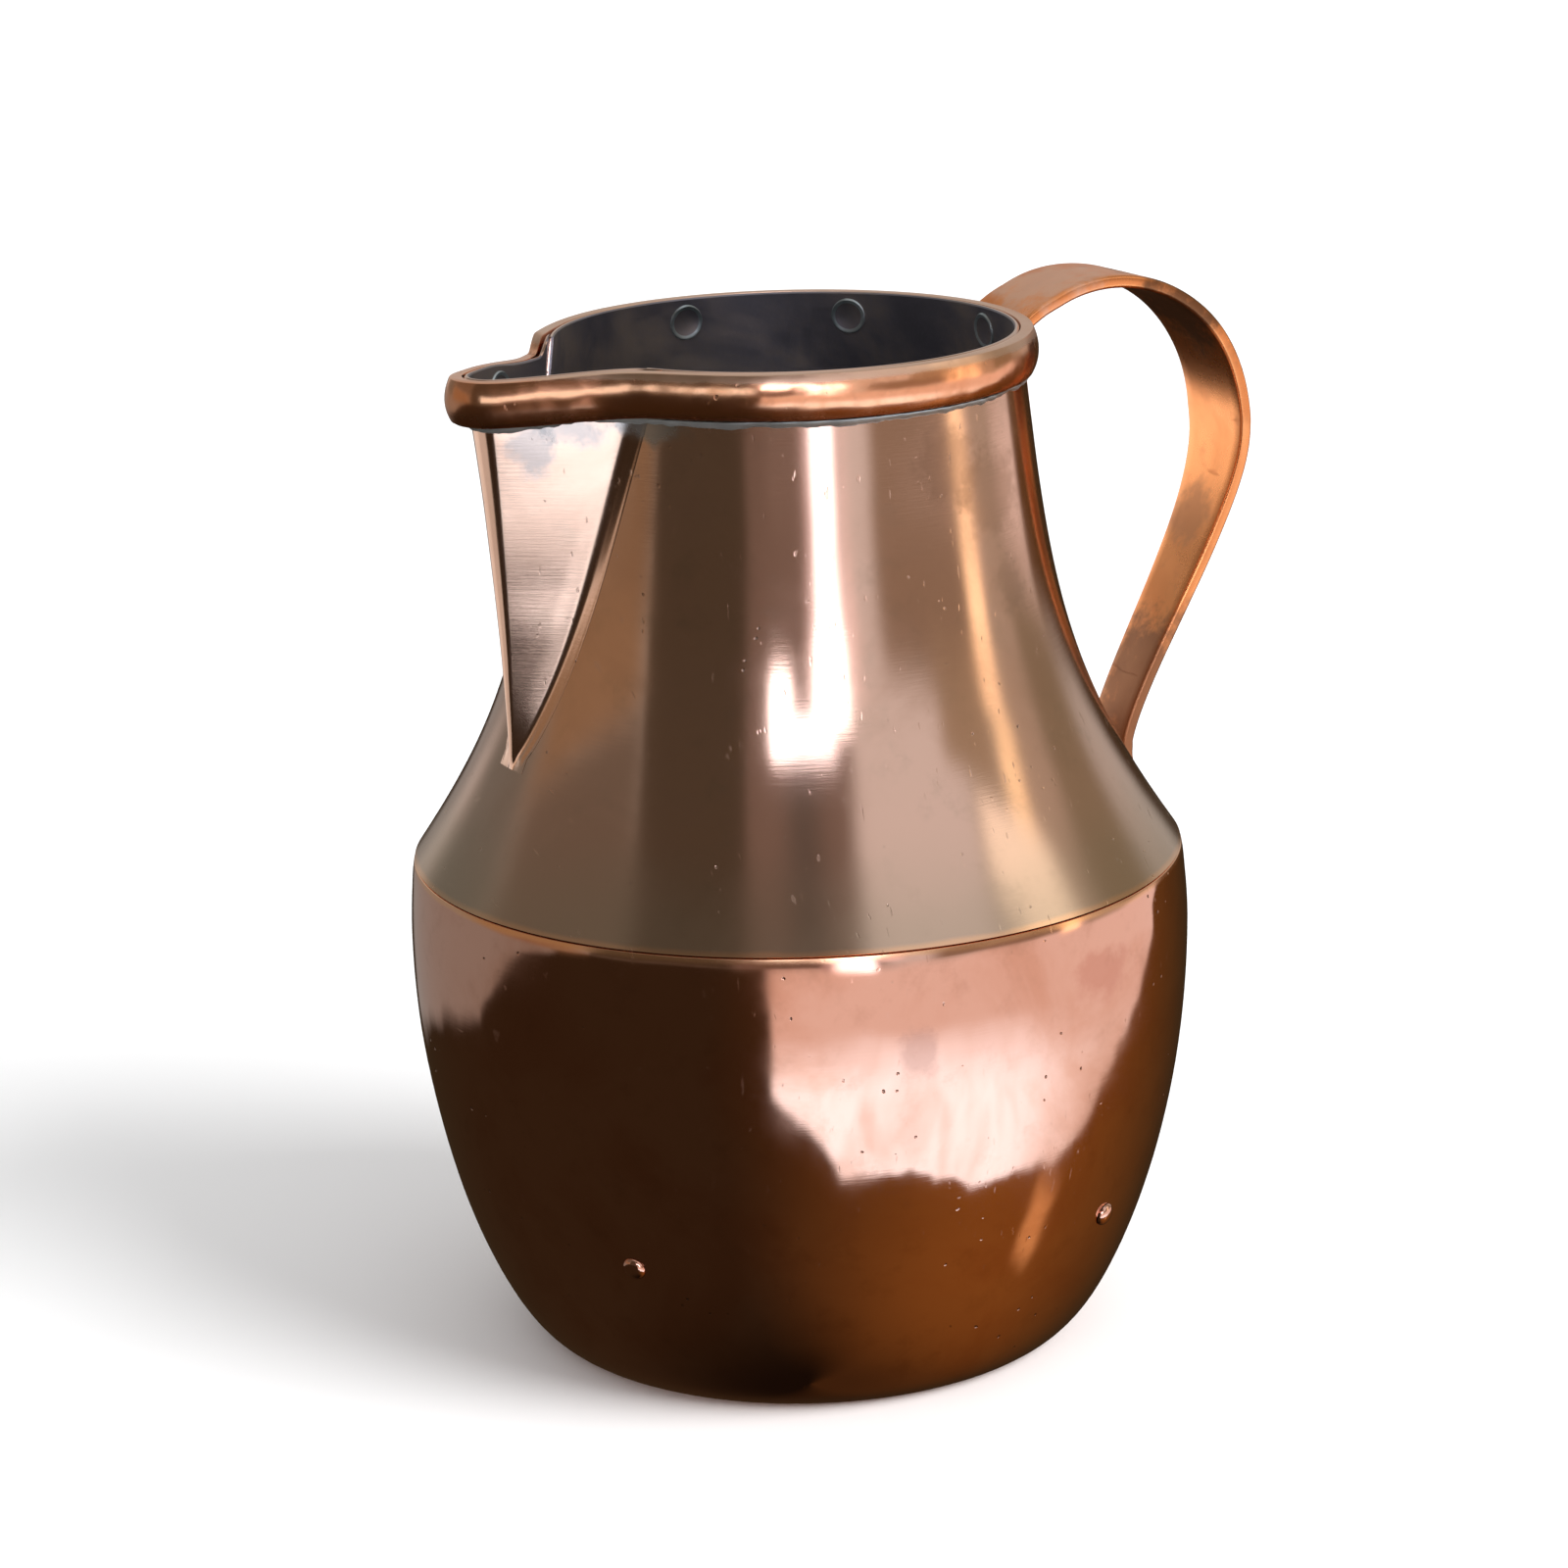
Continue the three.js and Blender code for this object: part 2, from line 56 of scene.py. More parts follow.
def bezier(points, t):
    work = [Vector(p) for p in points]
    while len(work) > 1:
        work = [a.lerp(b, t) for a, b in zip(work, work[1:])]
    return work[0]


def sampled(points, steps):
    return [bezier(points, i / steps) for i in range(steps + 1)]


def throughPoints(points, steps):  # smooth curve through every point
    ends = [points[0] * 2 - points[1], *points, points[-1] * 2 - points[-2]]
    line = []
    for a, b, c, d in zip(ends, ends[1:], ends[2:], ends[3:]):
        for i in range(steps):
            t = i / steps
            line.append(0.5 * ((2 * b) + (c - a) * t + (2 * a - 5 * b + 4 * c - d) * t * t
                               + (3 * b - a - 3 * c + d) * t ** 3))
    return [*line, points[-1]]


def offsetLine(points, distance):  # moved to the right of its own direction
    moved = []
    for i, point in enumerate(points):
        along = (points[min(i + 1, len(points) - 1)] - points[max(i - 1, 0)]).normalized()
        moved.append(Vector((point.x + along.y * distance, point.y - along.x * distance)))
    return moved


def evenly(points, steps):  # the same line with equal steps along it
    lengths = [0.0]
    for a, b in zip(points, points[1:]):
        lengths.append(lengths[-1] + (b - a).length)
    line, k = [], 0
    for i in range(steps + 1):
        want = lengths[-1] * i / steps
        while k < len(points) - 2 and lengths[k + 1] < want:
            k += 1
        share = (want - lengths[k]) / max(lengths[k + 1] - lengths[k], 1e-9)
        line.append(points[k].lerp(points[k + 1], share))
    return line


# ---- mesh helpers

def pick(piece):  # selected alone, and active
    bpy.ops.object.select_all(action="DESELECT")
    bpy.context.view_layer.objects.active = piece
    piece.select_set(True)


def inEditMode(piece):
    pick(piece)
    bpy.ops.object.mode_set(mode="EDIT")
    bpy.ops.mesh.select_all(action="SELECT")


def weld(piece, distance=0.00002):
    inEditMode(piece)
    bpy.ops.mesh.remove_doubles(threshold=distance)
    bpy.ops.mesh.dissolve_degenerate(threshold=1e-6)
    bpy.ops.mesh.normals_make_consistent(inside=False)
    bpy.ops.object.mode_set(mode="OBJECT")


def shapedGrid(name, across, along, place):  # a grid wrapped to a form, closed where its edges meet
    bpy.ops.object.select_all(action="DESELECT")
    bpy.ops.mesh.primitive_grid_add(x_subdivisions=across, y_subdivisions=along, size=1)
    piece = bpy.context.object
    piece.name = piece.data.name = name
    for vertex in piece.data.vertices:
        i = round((vertex.co.x + 0.5) * across)
        j = round((vertex.co.y + 0.5) * along)
        vertex.co = Vector(place(i, j)) * mm
    weld(piece)
    return piece


def spunProfile(name, profile, steps):  # (radius, height) points turned round the Z axis
    bpy.ops.object.select_all(action="DESELECT")
    start = Vector((profile[0][0], 0, profile[0][1])) * mm
    bpy.ops.mesh.primitive_plane_add(size=0.001, location=start)
    piece = bpy.context.object
    piece.name = piece.data.name = name
    bpy.ops.object.transform_apply(location=True, rotation=True, scale=True)
    inEditMode(piece)
    bpy.ops.mesh.merge(type="CENTER")
    for before, after in zip(profile, profile[1:]):
        step = ((after[0] - before[0]) * mm, 0, (after[1] - before[1]) * mm)
        bpy.ops.mesh.extrude_region_move(TRANSFORM_OT_translate={"value": step})
    bpy.ops.mesh.select_all(action="SELECT")
    bpy.ops.mesh.spin(steps=steps, angle=2 * math.pi, center=(0, 0, 0), axis=(0, 0, 1))
    bpy.ops.object.mode_set(mode="OBJECT")
    weld(piece, 0.00001)
    return piece


def smoothed(piece, angle=35):
    pick(piece)
    bpy.ops.object.shade_smooth_by_angle(angle=math.radians(angle))


def finished(piece, nodes, slot, *materials):  # materials after the first go on by face tests
    piece.data.materials.clear()
    piece.data.materials.append(materials[0])
    for material, test in materials[1:]:
        piece.data.materials.append(material)
        for face in piece.data.polygons:
            if test(face.center / mm, face.normal):
                face.material_index = len(piece.data.materials) - 1
    smoothed(piece)
    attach(piece, "root")
    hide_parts(*nodes)


def facesAxis(at, normal):  # the inner side of a wall round the jug
    return at.x * normal.x + at.y * normal.y < 0


# ---- shapes in millimetres

gap = 0.3  # between neighbouring solids
bowlShape = {
    "disc": 56, "base": 63, "round": 14, "belly": 96.6, "bellyHeight": 103, "fullness": 50,
    "bend": 113, "shoulder": 95, "shoulderHeight": 123, "sheet": 1.2, "lip": 0.7, "held": 0.12,
    "tinFrom": 0.9, "tinTo": 100, "steps": 176}
neckShape = {
    "rim": 56.5, "rimHeight": 251, "shoulderSlope": 0.68, "rimSlope": 0.12, "flare": 44.8,
    "collar": 60.16, "sheet": 1.2, "soft": 0.35, "skirt": 6, "skirtOut": 0.9, "wave": 0.16,
    "held": 0.08, "slit": 0.003, "rows": 80, "columns": 176}
spoutShape = {
    "depth": 94, "halfWidth": 27, "reach": 27.2, "nose": 8, "tipNose": 1.8, "tipHalf": 2.4,
    "tipReach": 1.6, "seamCurve": 0.78, "keelCurve": 1.6, "lap": 3.6, "lapSheet": 0.3,
    "above": 0.03, "thinnest": 0.06, "innerFillet": 0.6, "fillet": 2.2, "tipFillet": 0.5,
    "held": 0.1, "dip": 2.5, "dipDepth": 30, "dipEnd": 11, "farDrop": 1.5, "columns": 150, "rows": 84}

bowlLine = sampled([(bowlShape["base"], 0), (bowlShape["base"] + bowlShape["round"], 0),
                    (bowlShape["belly"], bowlShape["bellyHeight"] - bowlShape["fullness"]),
                    (bowlShape["belly"], bowlShape["bellyHeight"])], 34)
bowlLine += sampled([(bowlShape["belly"], bowlShape["bellyHeight"]), (bowlShape["belly"], bowlShape["bend"]),
                     (bowlShape["shoulder"], bowlShape["shoulderHeight"])], 8)[1:]
neckBottom = bowlShape["shoulderHeight"]
neckTop = neckShape["rimHeight"]
neckLine = sampled([(bowlShape["shoulder"], neckBottom),
                    (bowlShape["shoulder"] - neckShape["shoulderSlope"] * neckShape["flare"],
                     neckBottom + neckShape["flare"]),
                    (neckShape["rim"] + neckShape["rimSlope"] * neckShape["collar"],
                     neckTop - neckShape["collar"]), (neckShape["rim"], neckTop)], 400)
spoutBottom = neckTop - spoutShape["depth"]


def lineRadius(line, height):
    if height <= line[0].y:
        return line[0].x
    low, high = 0, len(line) - 1
    while high - low > 1:
        middle = (low + high) // 2
        if line[middle].y < height:
            low = middle
        else:
            high = middle
    share = clamp((height - line[low].y) / max(line[high].y - line[low].y, 1e-9))
    return mix(line[low].x, line[high].x, share)


def lineLean(line, height):  # outward normal of a wall at a height, as (out, up)
    fall = (lineRadius(line, height + 0.5) - lineRadius(line, height - 0.5))
    return Vector((1, -fall)).normalized()


def spoutForm(height):
    rise = clamp((height - spoutBottom) / spoutShape["depth"])
    half = mix(spoutShape["tipHalf"], spoutShape["halfWidth"], rise ** spoutShape["seamCurve"])
    foot = lineRadius(neckLine, spoutBottom) + spoutShape["tipReach"]
    keel = mix(foot, neckShape["rim"] + spoutShape["reach"], rise ** spoutShape["keelCurve"])
    nose = mix(spoutShape["tipNose"], spoutShape["nose"], rise)
    seam = math.sqrt(lineRadius(neckLine, max(height, spoutBottom)) ** 2 - half ** 2)
    centre = keel - nose
    reach = math.hypot(seam - centre, half)
    turn = math.atan2(half, seam - centre) - math.acos(min(nose / reach, 1))
    return rise, half, seam, centre, nose, turn


def spoutRadius(form, angle, inset=0.0):  # distance from the jug's axis to the folded sheet
    centre, nose, turn = form[3:]
    angle = abs(angle)
    nose -= inset
    across = centre * math.sin(angle)
    side = Vector((math.cos(turn), math.sin(turn)))
    if abs(across) < nose:
        onArc = centre * math.cos(angle) + math.sqrt(nose ** 2 - across ** 2)
        hit = Vector((onArc * math.cos(angle) - centre, onArc * math.sin(angle)))
        if math.atan2(hit.y, hit.x) <= turn:
            return onArc
    facing = math.cos(angle) * side.x + math.sin(angle) * side.y
    if facing < 0.05:
        return 0.0
    return (centre * side.x + nose) / facing


def softMax(a, b, width):
    near = max(width - abs(a - b), 0) / width
    return max(a, b) + near * near * width / 4


def hang(x, y, height):  # the spout's rim hangs below the neck's, a little more on its far side
    seam = math.sqrt(neckShape["rim"] ** 2 - spoutShape["halfWidth"] ** 2)
    tip = neckShape["rim"] + spoutShape["reach"]
    out = spoutShape["dip"] * ease(-x, seam, tip)
    step = ease(-x, seam + 0.5, seam + 5) * (1 - ease(-x, seam + 8, tip)) * ease(y, 4, 16)
    drop = out + step * (spoutShape["dip"] + spoutShape["farDrop"] - out)
    return drop * ease(height, neckTop - spoutShape["dipDepth"], neckTop - spoutShape["dipEnd"])


def unevenness(x, y, z, amount=0.22, size=0.03):  # slow hammered waviness in millimetres
    return amount * noise.noise(Vector((x, y, z)) * size)


# ---- shader groups

def newGroup(name, inputs, outputs):  # an input's kind follows from its value
    tree = bpy.data.node_groups.new(name, "ShaderNodeTree")
    for label, value in inputs.items():
        kind = "Float" if isinstance(value, float) else ("Vector", "Color")[len(value) - 3]
        made = tree.interface.new_socket(label, in_out="INPUT", socket_type="NodeSocket" + kind)
        made.default_value = value
    for label, kind in outputs.items():
        tree.interface.new_socket(label, in_out="OUTPUT", socket_type="NodeSocket" + kind)
    return tree, tree.nodes.new("NodeGroupInput").outputs, tree.nodes.new("NodeGroupOutput").inputs


def feed(tree, socket, value):  # by a link or with a plain value; a colour may leave out its alpha
    if isinstance(value, bpy.types.NodeSocket):
        tree.links.new(value, socket)
    elif socket.type == "RGBA" and len(value) == 3:
        socket.default_value = (*value, 1)
    else:
        socket.default_value = value


def add(tree, kind, values=None, **settings):  # one node with its settings and sockets
    made = tree.nodes.new(kind)
    for key, value in settings.items():
        setattr(made, key, value)
    for key, value in (values or {}).items():
        feed(tree, made.inputs[key], value)
    return made


def maths(tree, kind, *values):
    return add(tree, "ShaderNodeMath", dict(enumerate(values)), operation=kind).outputs[0]


def times(tree, a, b):
    return maths(tree, "MULTIPLY", a, b)


def plus(tree, a, b):
    return maths(tree, "ADD", a, b)


def ranged(tree, value, low, high, toLow=0.0, toHigh=1.0, kind="SMOOTHSTEP"):
    limits = {"Value": value, "From Min": low, "From Max": high, "To Min": toLow, "To Max": toHigh}
    return add(tree, "ShaderNodeMapRange", limits, interpolation_type=kind).outputs[0]


def blended(tree, share, a, b, kind="MIX"):
    made = tree.nodes.new("ShaderNodeMix")
    made.data_type = "RGBA"
    made.blend_type = kind
    for index, value in ((0, share), (6, a), (7, b)):  # its factor and its two colours
        feed(tree, made.inputs[index], value)
    return made.outputs[2]


def wavyNoise(tree, coords, scale, detail=3.0, roughness=0.55, distortion=0.0):
    return add(tree, "ShaderNodeTexNoise", {
        "Vector": coords, "Scale": scale, "Detail": detail, "Roughness": roughness,
        "Distortion": distortion}).outputs["Fac"]


def stretched(tree, coords, scale):
    return add(tree, "ShaderNodeVectorMath", {0: coords, 1: scale}, operation="MULTIPLY").outputs[0]


def makeTarnish():  # slow stains and small blooms over polished copper
    tree, given, out = newGroup("copperTarnish", {
        "Vector": (0, 0, 0), "Clean": (0.8, 0.5, 0.4, 1), "Stained": (0.5, 0.3, 0.25, 1),
        "Bloom": (0.6, 0.5, 0.5, 1), "Scale": 20.0, "Amount": 0.5}, {"Color": "Color", "Mask": "Float"})
    slow = wavyNoise(tree, given["Vector"], given["Scale"], 5.0, 0.6, 0.6)
    stain = times(tree, ranged(tree, slow, 0.42, 0.72), given["Amount"])
    small = wavyNoise(tree, given["Vector"], times(tree, given["Scale"], 4.3), 6.0, 0.65)
    bloom = ranged(tree, small, 0.5, 0.8)
    bloom = times(tree, bloom, times(tree, given["Amount"], 0.7))
    colour = blended(tree, stain, given["Clean"], given["Stained"])
    tree.links.new(blended(tree, bloom, colour, given["Bloom"]), out["Color"])
    tree.links.new(maths(tree, "MAXIMUM", stain, bloom), out["Mask"])
    return tree


def makeSpecks():  # pits and small dark dots, denser in patches
    tree, given, out = newGroup("darkSpecks", {
        "Vector": (0, 0, 0), "Scale": 160.0, "Size": 0.12, "Patches": 0.52}, {"Mask": "Float"})
    bent = add(tree, "ShaderNodeVectorMath", {0: given["Vector"]}, operation="ADD")
    jitter = add(tree, "ShaderNodeTexNoise", {"Vector": given["Vector"], "Scale": 300.0, "Detail": 1.0})
    tree.links.new(stretched(tree, jitter.outputs["Color"], (0.0016, 0.0016, 0.0016)), bent.inputs[1])
    cells = add(tree, "ShaderNodeTexVoronoi", {"Vector": bent.outputs[0], "Scale": given["Scale"]})
    core = times(tree, given["Size"], 0.45)
    dots = ranged(tree, cells.outputs["Distance"], given["Size"], core)
    chance = add(tree, "ShaderNodeSeparateColor", {0: cells.outputs["Color"]}).outputs[0]
    some = ranged(tree, chance, 0.55, 0.6)
    where = ranged(tree, wavyNoise(tree, given["Vector"], 38.0, 2.0), given["Patches"],
                   plus(tree, given["Patches"], 0.12))
    tree.links.new(times(tree, times(tree, dots, some), where), out["Mask"])
    return tree


def makePolish():  # fine polishing lines round the jug with a few longer scratches
    tree, given, out = newGroup("polishLines", {
        "Vector": (0, 0, 0), "Fineness": 2600.0}, {"Height": "Float", "Mask": "Float"})
    parts = add(tree, "ShaderNodeSeparateXYZ", {0: given["Vector"]}).outputs
    turn = maths(tree, "ARCTAN2", parts["Y"], parts["X"])
    wrapped = add(tree, "ShaderNodeCombineXYZ", {
        "X": times(tree, maths(tree, "SINE", turn), 7.0),
        "Y": times(tree, maths(tree, "COSINE", turn), 7.0),
        "Z": times(tree, parts["Z"], given["Fineness"])}).outputs[0]
    lines = wavyNoise(tree, wrapped, 1.0, 4.0, 0.7)
    scored = stretched(tree, given["Vector"], (900.0, 60.0, 240.0))
    scratches = ranged(tree, wavyNoise(tree, scored, 1.0, 2.0, 0.4), 0.70, 0.76)
    tree.links.new(maths(tree, "SUBTRACT", lines, times(tree, scratches, 1.6)), out["Height"])
    tree.links.new(scratches, out["Mask"])
    return tree


def makeHammered():  # planishing marks left by the hammer, nearly polished out
    tree, given, out = newGroup("hammerMarks", {
        "Vector": (0, 0, 0), "Slow": 16.0, "Quick": 60.0, "Share": 0.25}, {"Height": "Float"})
    slow = wavyNoise(tree, given["Vector"], given["Slow"], 1.0, 0.4, 0.4)
    quick = wavyNoise(tree, given["Vector"], given["Quick"], 1.0, 0.4)
    tree.links.new(plus(tree, slow, times(tree, quick, given["Share"])), out["Height"])
    return tree


def makeNear():  # 1 near a point and 0 past a radius, with a ragged edge
    tree, given, out = newGroup("nearPoint", {
        "Vector": (0, 0, 0), "Point": (0, 0, 0), "Radius": 0.01, "Squash": (1, 1, 1)}, {"Mask": "Float"})
    away = add(tree, "ShaderNodeVectorMath", {0: given["Vector"], 1: given["Point"]}, operation="SUBTRACT")
    flat = add(tree, "ShaderNodeVectorMath", {0: away.outputs[0], 1: given["Squash"]}, operation="MULTIPLY")
    far = add(tree, "ShaderNodeVectorMath", {0: flat.outputs[0]}, operation="LENGTH").outputs["Value"]
    uneven = maths(tree, "SUBTRACT", wavyNoise(tree, given["Vector"], 130.0, 5.0, 0.65), 0.5)
    share = maths(tree, "DIVIDE", far, given["Radius"])
    share = plus(tree, share, times(tree, uneven, 1.5))
    tree.links.new(ranged(tree, share, 1.0, 0.45), out["Mask"])
    return tree


tarnishGroup, speckGroup, polishGroup = makeTarnish(), makeSpecks(), makePolish()
hammerGroup, nearGroup = makeHammered(), makeNear()
print("shader groups made")


# ---- materials

def startMaterial(name, metallic, roughness):
    material = bpy.data.materials.new(name)
    material.use_nodes = True
    tree = material.node_tree
    shader = tree.nodes["Principled BSDF"]
    shader.inputs["Metallic"].default_value = metallic
    shader.inputs["Roughness"].default_value = roughness
    return material, tree, shader, tree.nodes.new("ShaderNodeTexCoord").outputs["Object"]


def grouped(tree, group, values):
    made = tree.nodes.new("ShaderNodeGroup")
    made.node_tree = group
    for key, value in values.items():
        feed(tree, made.inputs[key], value)
    return made.outputs


def bumped(tree, height, distance, strength=1.0, under=None):
    made = add(tree, "ShaderNodeBump", {"Height": height, "Distance": distance, "Strength": strength})
    if under:
        tree.links.new(under, made.inputs["Normal"])
    return made.outputs[0]


def copperMaterial(name, look, extra=None):
    material, tree, shader, coords = startMaterial(name, 1.0, look["roughness"])
    tarnish = grouped(tree, tarnishGroup, {
        "Vector": coords, "Clean": look["clean"], "Stained": look["stained"], "Bloom": look["bloom"],
        "Scale": look["stainScale"], "Amount": look["stainAmount"]})
    specks = grouped(tree, speckGroup, {
        "Vector": coords, "Scale": look["speckScale"], "Size": look["speckSize"],
        "Patches": look["speckPatches"]})["Mask"]
    polish = grouped(tree, polishGroup, {"Vector": coords, "Fineness": look["fineness"]})
    colour = blended(tree, times(tree, specks, 0.7), tarnish["Color"], look["speck"])
    rough = look["roughness"]
    for mask, amount in ((tarnish["Mask"], look["stainRough"]), (specks, 0.25), (polish["Mask"], 0.12)):
        rough = plus(tree, rough, times(tree, mask, amount))
    hammer = grouped(tree, hammerGroup, {
        "Vector": coords, "Slow": look["slow"], "Quick": look["quick"], "Share": look["share"]})["Height"]
    normal = bumped(tree, hammer, look["hammerDepth"])
    normal = bumped(tree, polish["Height"], look["lineDepth"], 1.0, normal)
    normal = bumped(tree, times(tree, specks, -1.0), 0.00008, 1.0, normal)
    if extra:
        colour, rough = extra(tree, coords, colour, rough)
    tree.links.new(colour, shader.inputs["Base Color"])
    tree.links.new(maths(tree, "MINIMUM", rough, 0.8), shader.inputs["Roughness"])
    tree.links.new(normal, shader.inputs["Normal"])
    return material


def heightOf(tree, coords):
    return add(tree, "ShaderNodeSeparateXYZ", {0: coords}).outputs["Z"]


def ragged(tree, coords, scale, amount):  # a height line that wanders
    return times(tree, maths(tree, "SUBTRACT", wavyNoise(tree, coords, scale, 3.0), 0.5), amount)


def stainedAt(tree, coords, colour, rough, point, radius, tint, share, addRough, squash=(1, 1, 1)):
    near = grouped(tree, nearGroup, {"Vector": coords, "Point": point, "Radius": radius, "Squash": squash})
    mask = times(tree, near["Mask"], share)
    colour = blended(tree, mask, colour, tint)
    return colour, plus(tree, rough, times(tree, mask, addRough))


bowlLook = {"clean": (0.84, 0.50, 0.385), "stained": (0.72, 0.36, 0.24), "bloom": (0.62, 0.34, 0.24),
            "speck": (0.10, 0.05, 0.035), "roughness": 0.055, "stainRough": 0.10, "stainScale": 26.0,
            "stainAmount": 0.75, "speckScale": 260.0, "speckSize": 0.13, "speckPatches": 0.47, "slow": 13.0,
            "quick": 55.0, "share": 0.16, "hammerDepth": 0.0011, "lineDepth": 0.0000025, "fineness": 2400.0,
            "edge": (0.95, 0.55, 0.33), "edgeHeight": 0.1212}
neckLook = {"clean": (0.79, 0.53, 0.415), "stained": (0.68, 0.44, 0.33), "bloom": (0.60, 0.42, 0.32),
            "speck": (0.16, 0.10, 0.08), "roughness": 0.12, "stainRough": 0.08, "stainScale": 20.0,
            "stainAmount": 0.8, "speckScale": 280.0, "speckSize": 0.12, "speckPatches": 0.50, "slow": 12.0,
            "quick": 40.0, "share": 0.12, "hammerDepth": 0.0007, "lineDepth": 0.000009, "fineness": 2000.0,
            "olive": (0.58, 0.45, 0.335), "oliveHeight": 0.137, "edge": (0.88, 0.55, 0.35),
            "tin": (0.50, 0.55, 0.58)}
rimLook = {"clean": (0.95, 0.48, 0.285), "stained": (0.84, 0.36, 0.18), "bloom": (0.70, 0.32, 0.18),
           "speck": (0.16, 0.07, 0.04), "roughness": 0.17, "stainRough": 0.14, "stainScale": 60.0,
           "stainAmount": 0.7, "speckScale": 300.0, "speckSize": 0.16, "speckPatches": 0.5, "slow": 45.0,
           "quick": 160.0, "share": 0.2, "hammerDepth": 0.0008, "lineDepth": 0.000004, "fineness": 1500.0,
           "worn": (0.80, 0.56, 0.42), "wornHeight": 0.2498}
handleLook = {"clean": (0.98, 0.38, 0.14), "stained": (0.82, 0.27, 0.085), "bloom": (0.60, 0.23, 0.10),
              "speck": (0.14, 0.07, 0.04), "roughness": 0.27, "stainRough": 0.14, "stainScale": 34.0,
              "stainAmount": 0.6, "speckScale": 260.0, "speckSize": 0.08, "speckPatches": 0.55, "slow": 30.0,
              "quick": 90.0, "share": 0.2, "hammerDepth": 0.0004, "lineDepth": 0.000006, "fineness": 1600.0}


def bowlExtra(tree, coords, colour, rough):
    height = plus(tree, heightOf(tree, coords), ragged(tree, coords, 60.0, 0.0012))
    worn = ranged(tree, height, bowlLook["edgeHeight"], bowlLook["edgeHeight"] + 0.0012)
    colour = blended(tree, worn, colour, bowlLook["edge"])
    rough = plus(tree, rough, times(tree, worn, 0.12))
    for point, radius, tint, share, added, squash in (
            ((0.031, -0.089, 0.108), 0.012, (0.66, 0.30, 0.22), 0.55, 0.10, (1, 1, 1.5)),
            ((-0.020, -0.094, 0.098), 0.006, (0.52, 0.30, 0.24), 0.5, 0.12, (1, 1, 0.7)),
            ((0.055, -0.055, 0.038), 0.011, (0.30, 0.13, 0.06), 0.7, 0.10, (1.6, 1.6, 0.5)),
            ((0.058, -0.060, 0.052), 0.012, (0.52, 0.26, 0.15), 0.5, 0.12, (1, 1, 1))):
        colour, rough = stainedAt(tree, coords, colour, rough, point, radius, tint, share, added, squash)
    return colour, rough


def neckExtra(tree, coords, colour, rough):
    height = plus(tree, heightOf(tree, coords), ragged(tree, coords, 24.0, 0.016))
    olive = times(tree, ranged(tree, height, neckLook["oliveHeight"] + 0.012, 0.124), 0.75)
    colour = blended(tree, olive, colour, neckLook["olive"])
    rough = plus(tree, rough, times(tree, olive, 0.07))
    low = plus(tree, heightOf(tree, coords), ragged(tree, coords, 90.0, 0.001))
    worn = ranged(tree, low, 0.1248, 0.1236)
    colour = blended(tree, worn, colour, neckLook["edge"])
    for point, radius, share, squash in (
            ((-0.052, -0.030, 0.2385), 0.013, 0.75, (1, 1, 2.4)),
            ((-0.066, -0.019, 0.237), 0.011, 0.5, (1, 1, 1.9)),
            ((-0.074, -0.012, 0.232), 0.008, 0.45, (1, 1, 0.9)),
            ((-0.052, 0.030, 0.2385), 0.012, 0.7, (1, 1, 2.0)),
            ((-0.070, 0.015, 0.235), 0.012, 0.6, (1, 1, 1.4)),
            ((-0.059, -0.028, 0.226), 0.008, 0.5, (1.6, 1.6, 0.8))):
        tin = neckLook["tin"]
        colour, rough = stainedAt(tree, coords, colour, rough, point, radius, tin, share, 0.22, squash)
    for point, radius, tint, share in (
            ((0.012, -0.058, 0.226), 0.012, (0.42, 0.26, 0.18), 0.55),
            ((0.024, -0.055, 0.218), 0.014, (0.44, 0.27, 0.18), 0.5),
            ((0.030, -0.060, 0.196), 0.009, (0.50, 0.33, 0.24), 0.6),
            ((0.044, -0.042, 0.231), 0.012, (0.70, 0.42, 0.24), 0.6)):
        colour, rough = stainedAt(tree, coords, colour, rough, point, radius, tint, share, 0.08)
    return colour, rough


def rimExtra(tree, coords, colour, rough):
    height = plus(tree, heightOf(tree, coords), ragged(tree, coords, 120.0, 0.0009))
    worn = ranged(tree, height, rimLook["wornHeight"] - 0.0012, rimLook["wornHeight"])
    worn = times(tree, worn, 0.8)
    # painted shade: the moulding's lower band, below about 242.8 mm, is darkened toward dark brown (0.30,
    # 0.15, 0.09) to stand in for the shade on its underside
    low = times(tree, ranged(tree, height, 0.2428, 0.2400), 0.4)
    colour = blended(tree, low, blended(tree, worn, colour, rimLook["worn"]), (0.30, 0.15, 0.09))
    # the rubbed top and the painted shade below both add roughness
    wearAndPaintedShade = maths(tree, "MAXIMUM", worn, low)
    return colour, plus(tree, rough, times(tree, wearAndPaintedShade, 0.18))


def handleExtra(tree, coords, colour, rough):
    for point, radius, tint, share, squash in (
            ((0.108, -0.004, 0.247), 0.022, (0.13, 0.07, 0.04), 0.85, (1, 1, 1)),
            ((0.098, -0.006, 0.148), 0.024, (0.24, 0.12, 0.07), 0.8, (1, 1, 0.8)),
            ((0.072, 0.0, 0.262), 0.020, (0.92, 0.66, 0.52), 0.6, (1, 1, 1)),
            ((0.118, 0.002, 0.190), 0.011, (0.36, 0.18, 0.10), 0.5, (1, 1, 1))):
        colour, rough = stainedAt(tree, coords, colour, rough, point, radius, tint, share, 0.14, squash)
    return colour, rough


bowlCopper = copperMaterial("bowlCopper", bowlLook, bowlExtra)
neckCopper = copperMaterial("neckCopper", neckLook, neckExtra)
rimCopper = copperMaterial("rimCopper", rimLook, rimExtra)
handleCopper = copperMaterial("handleCopper", handleLook, handleExtra)


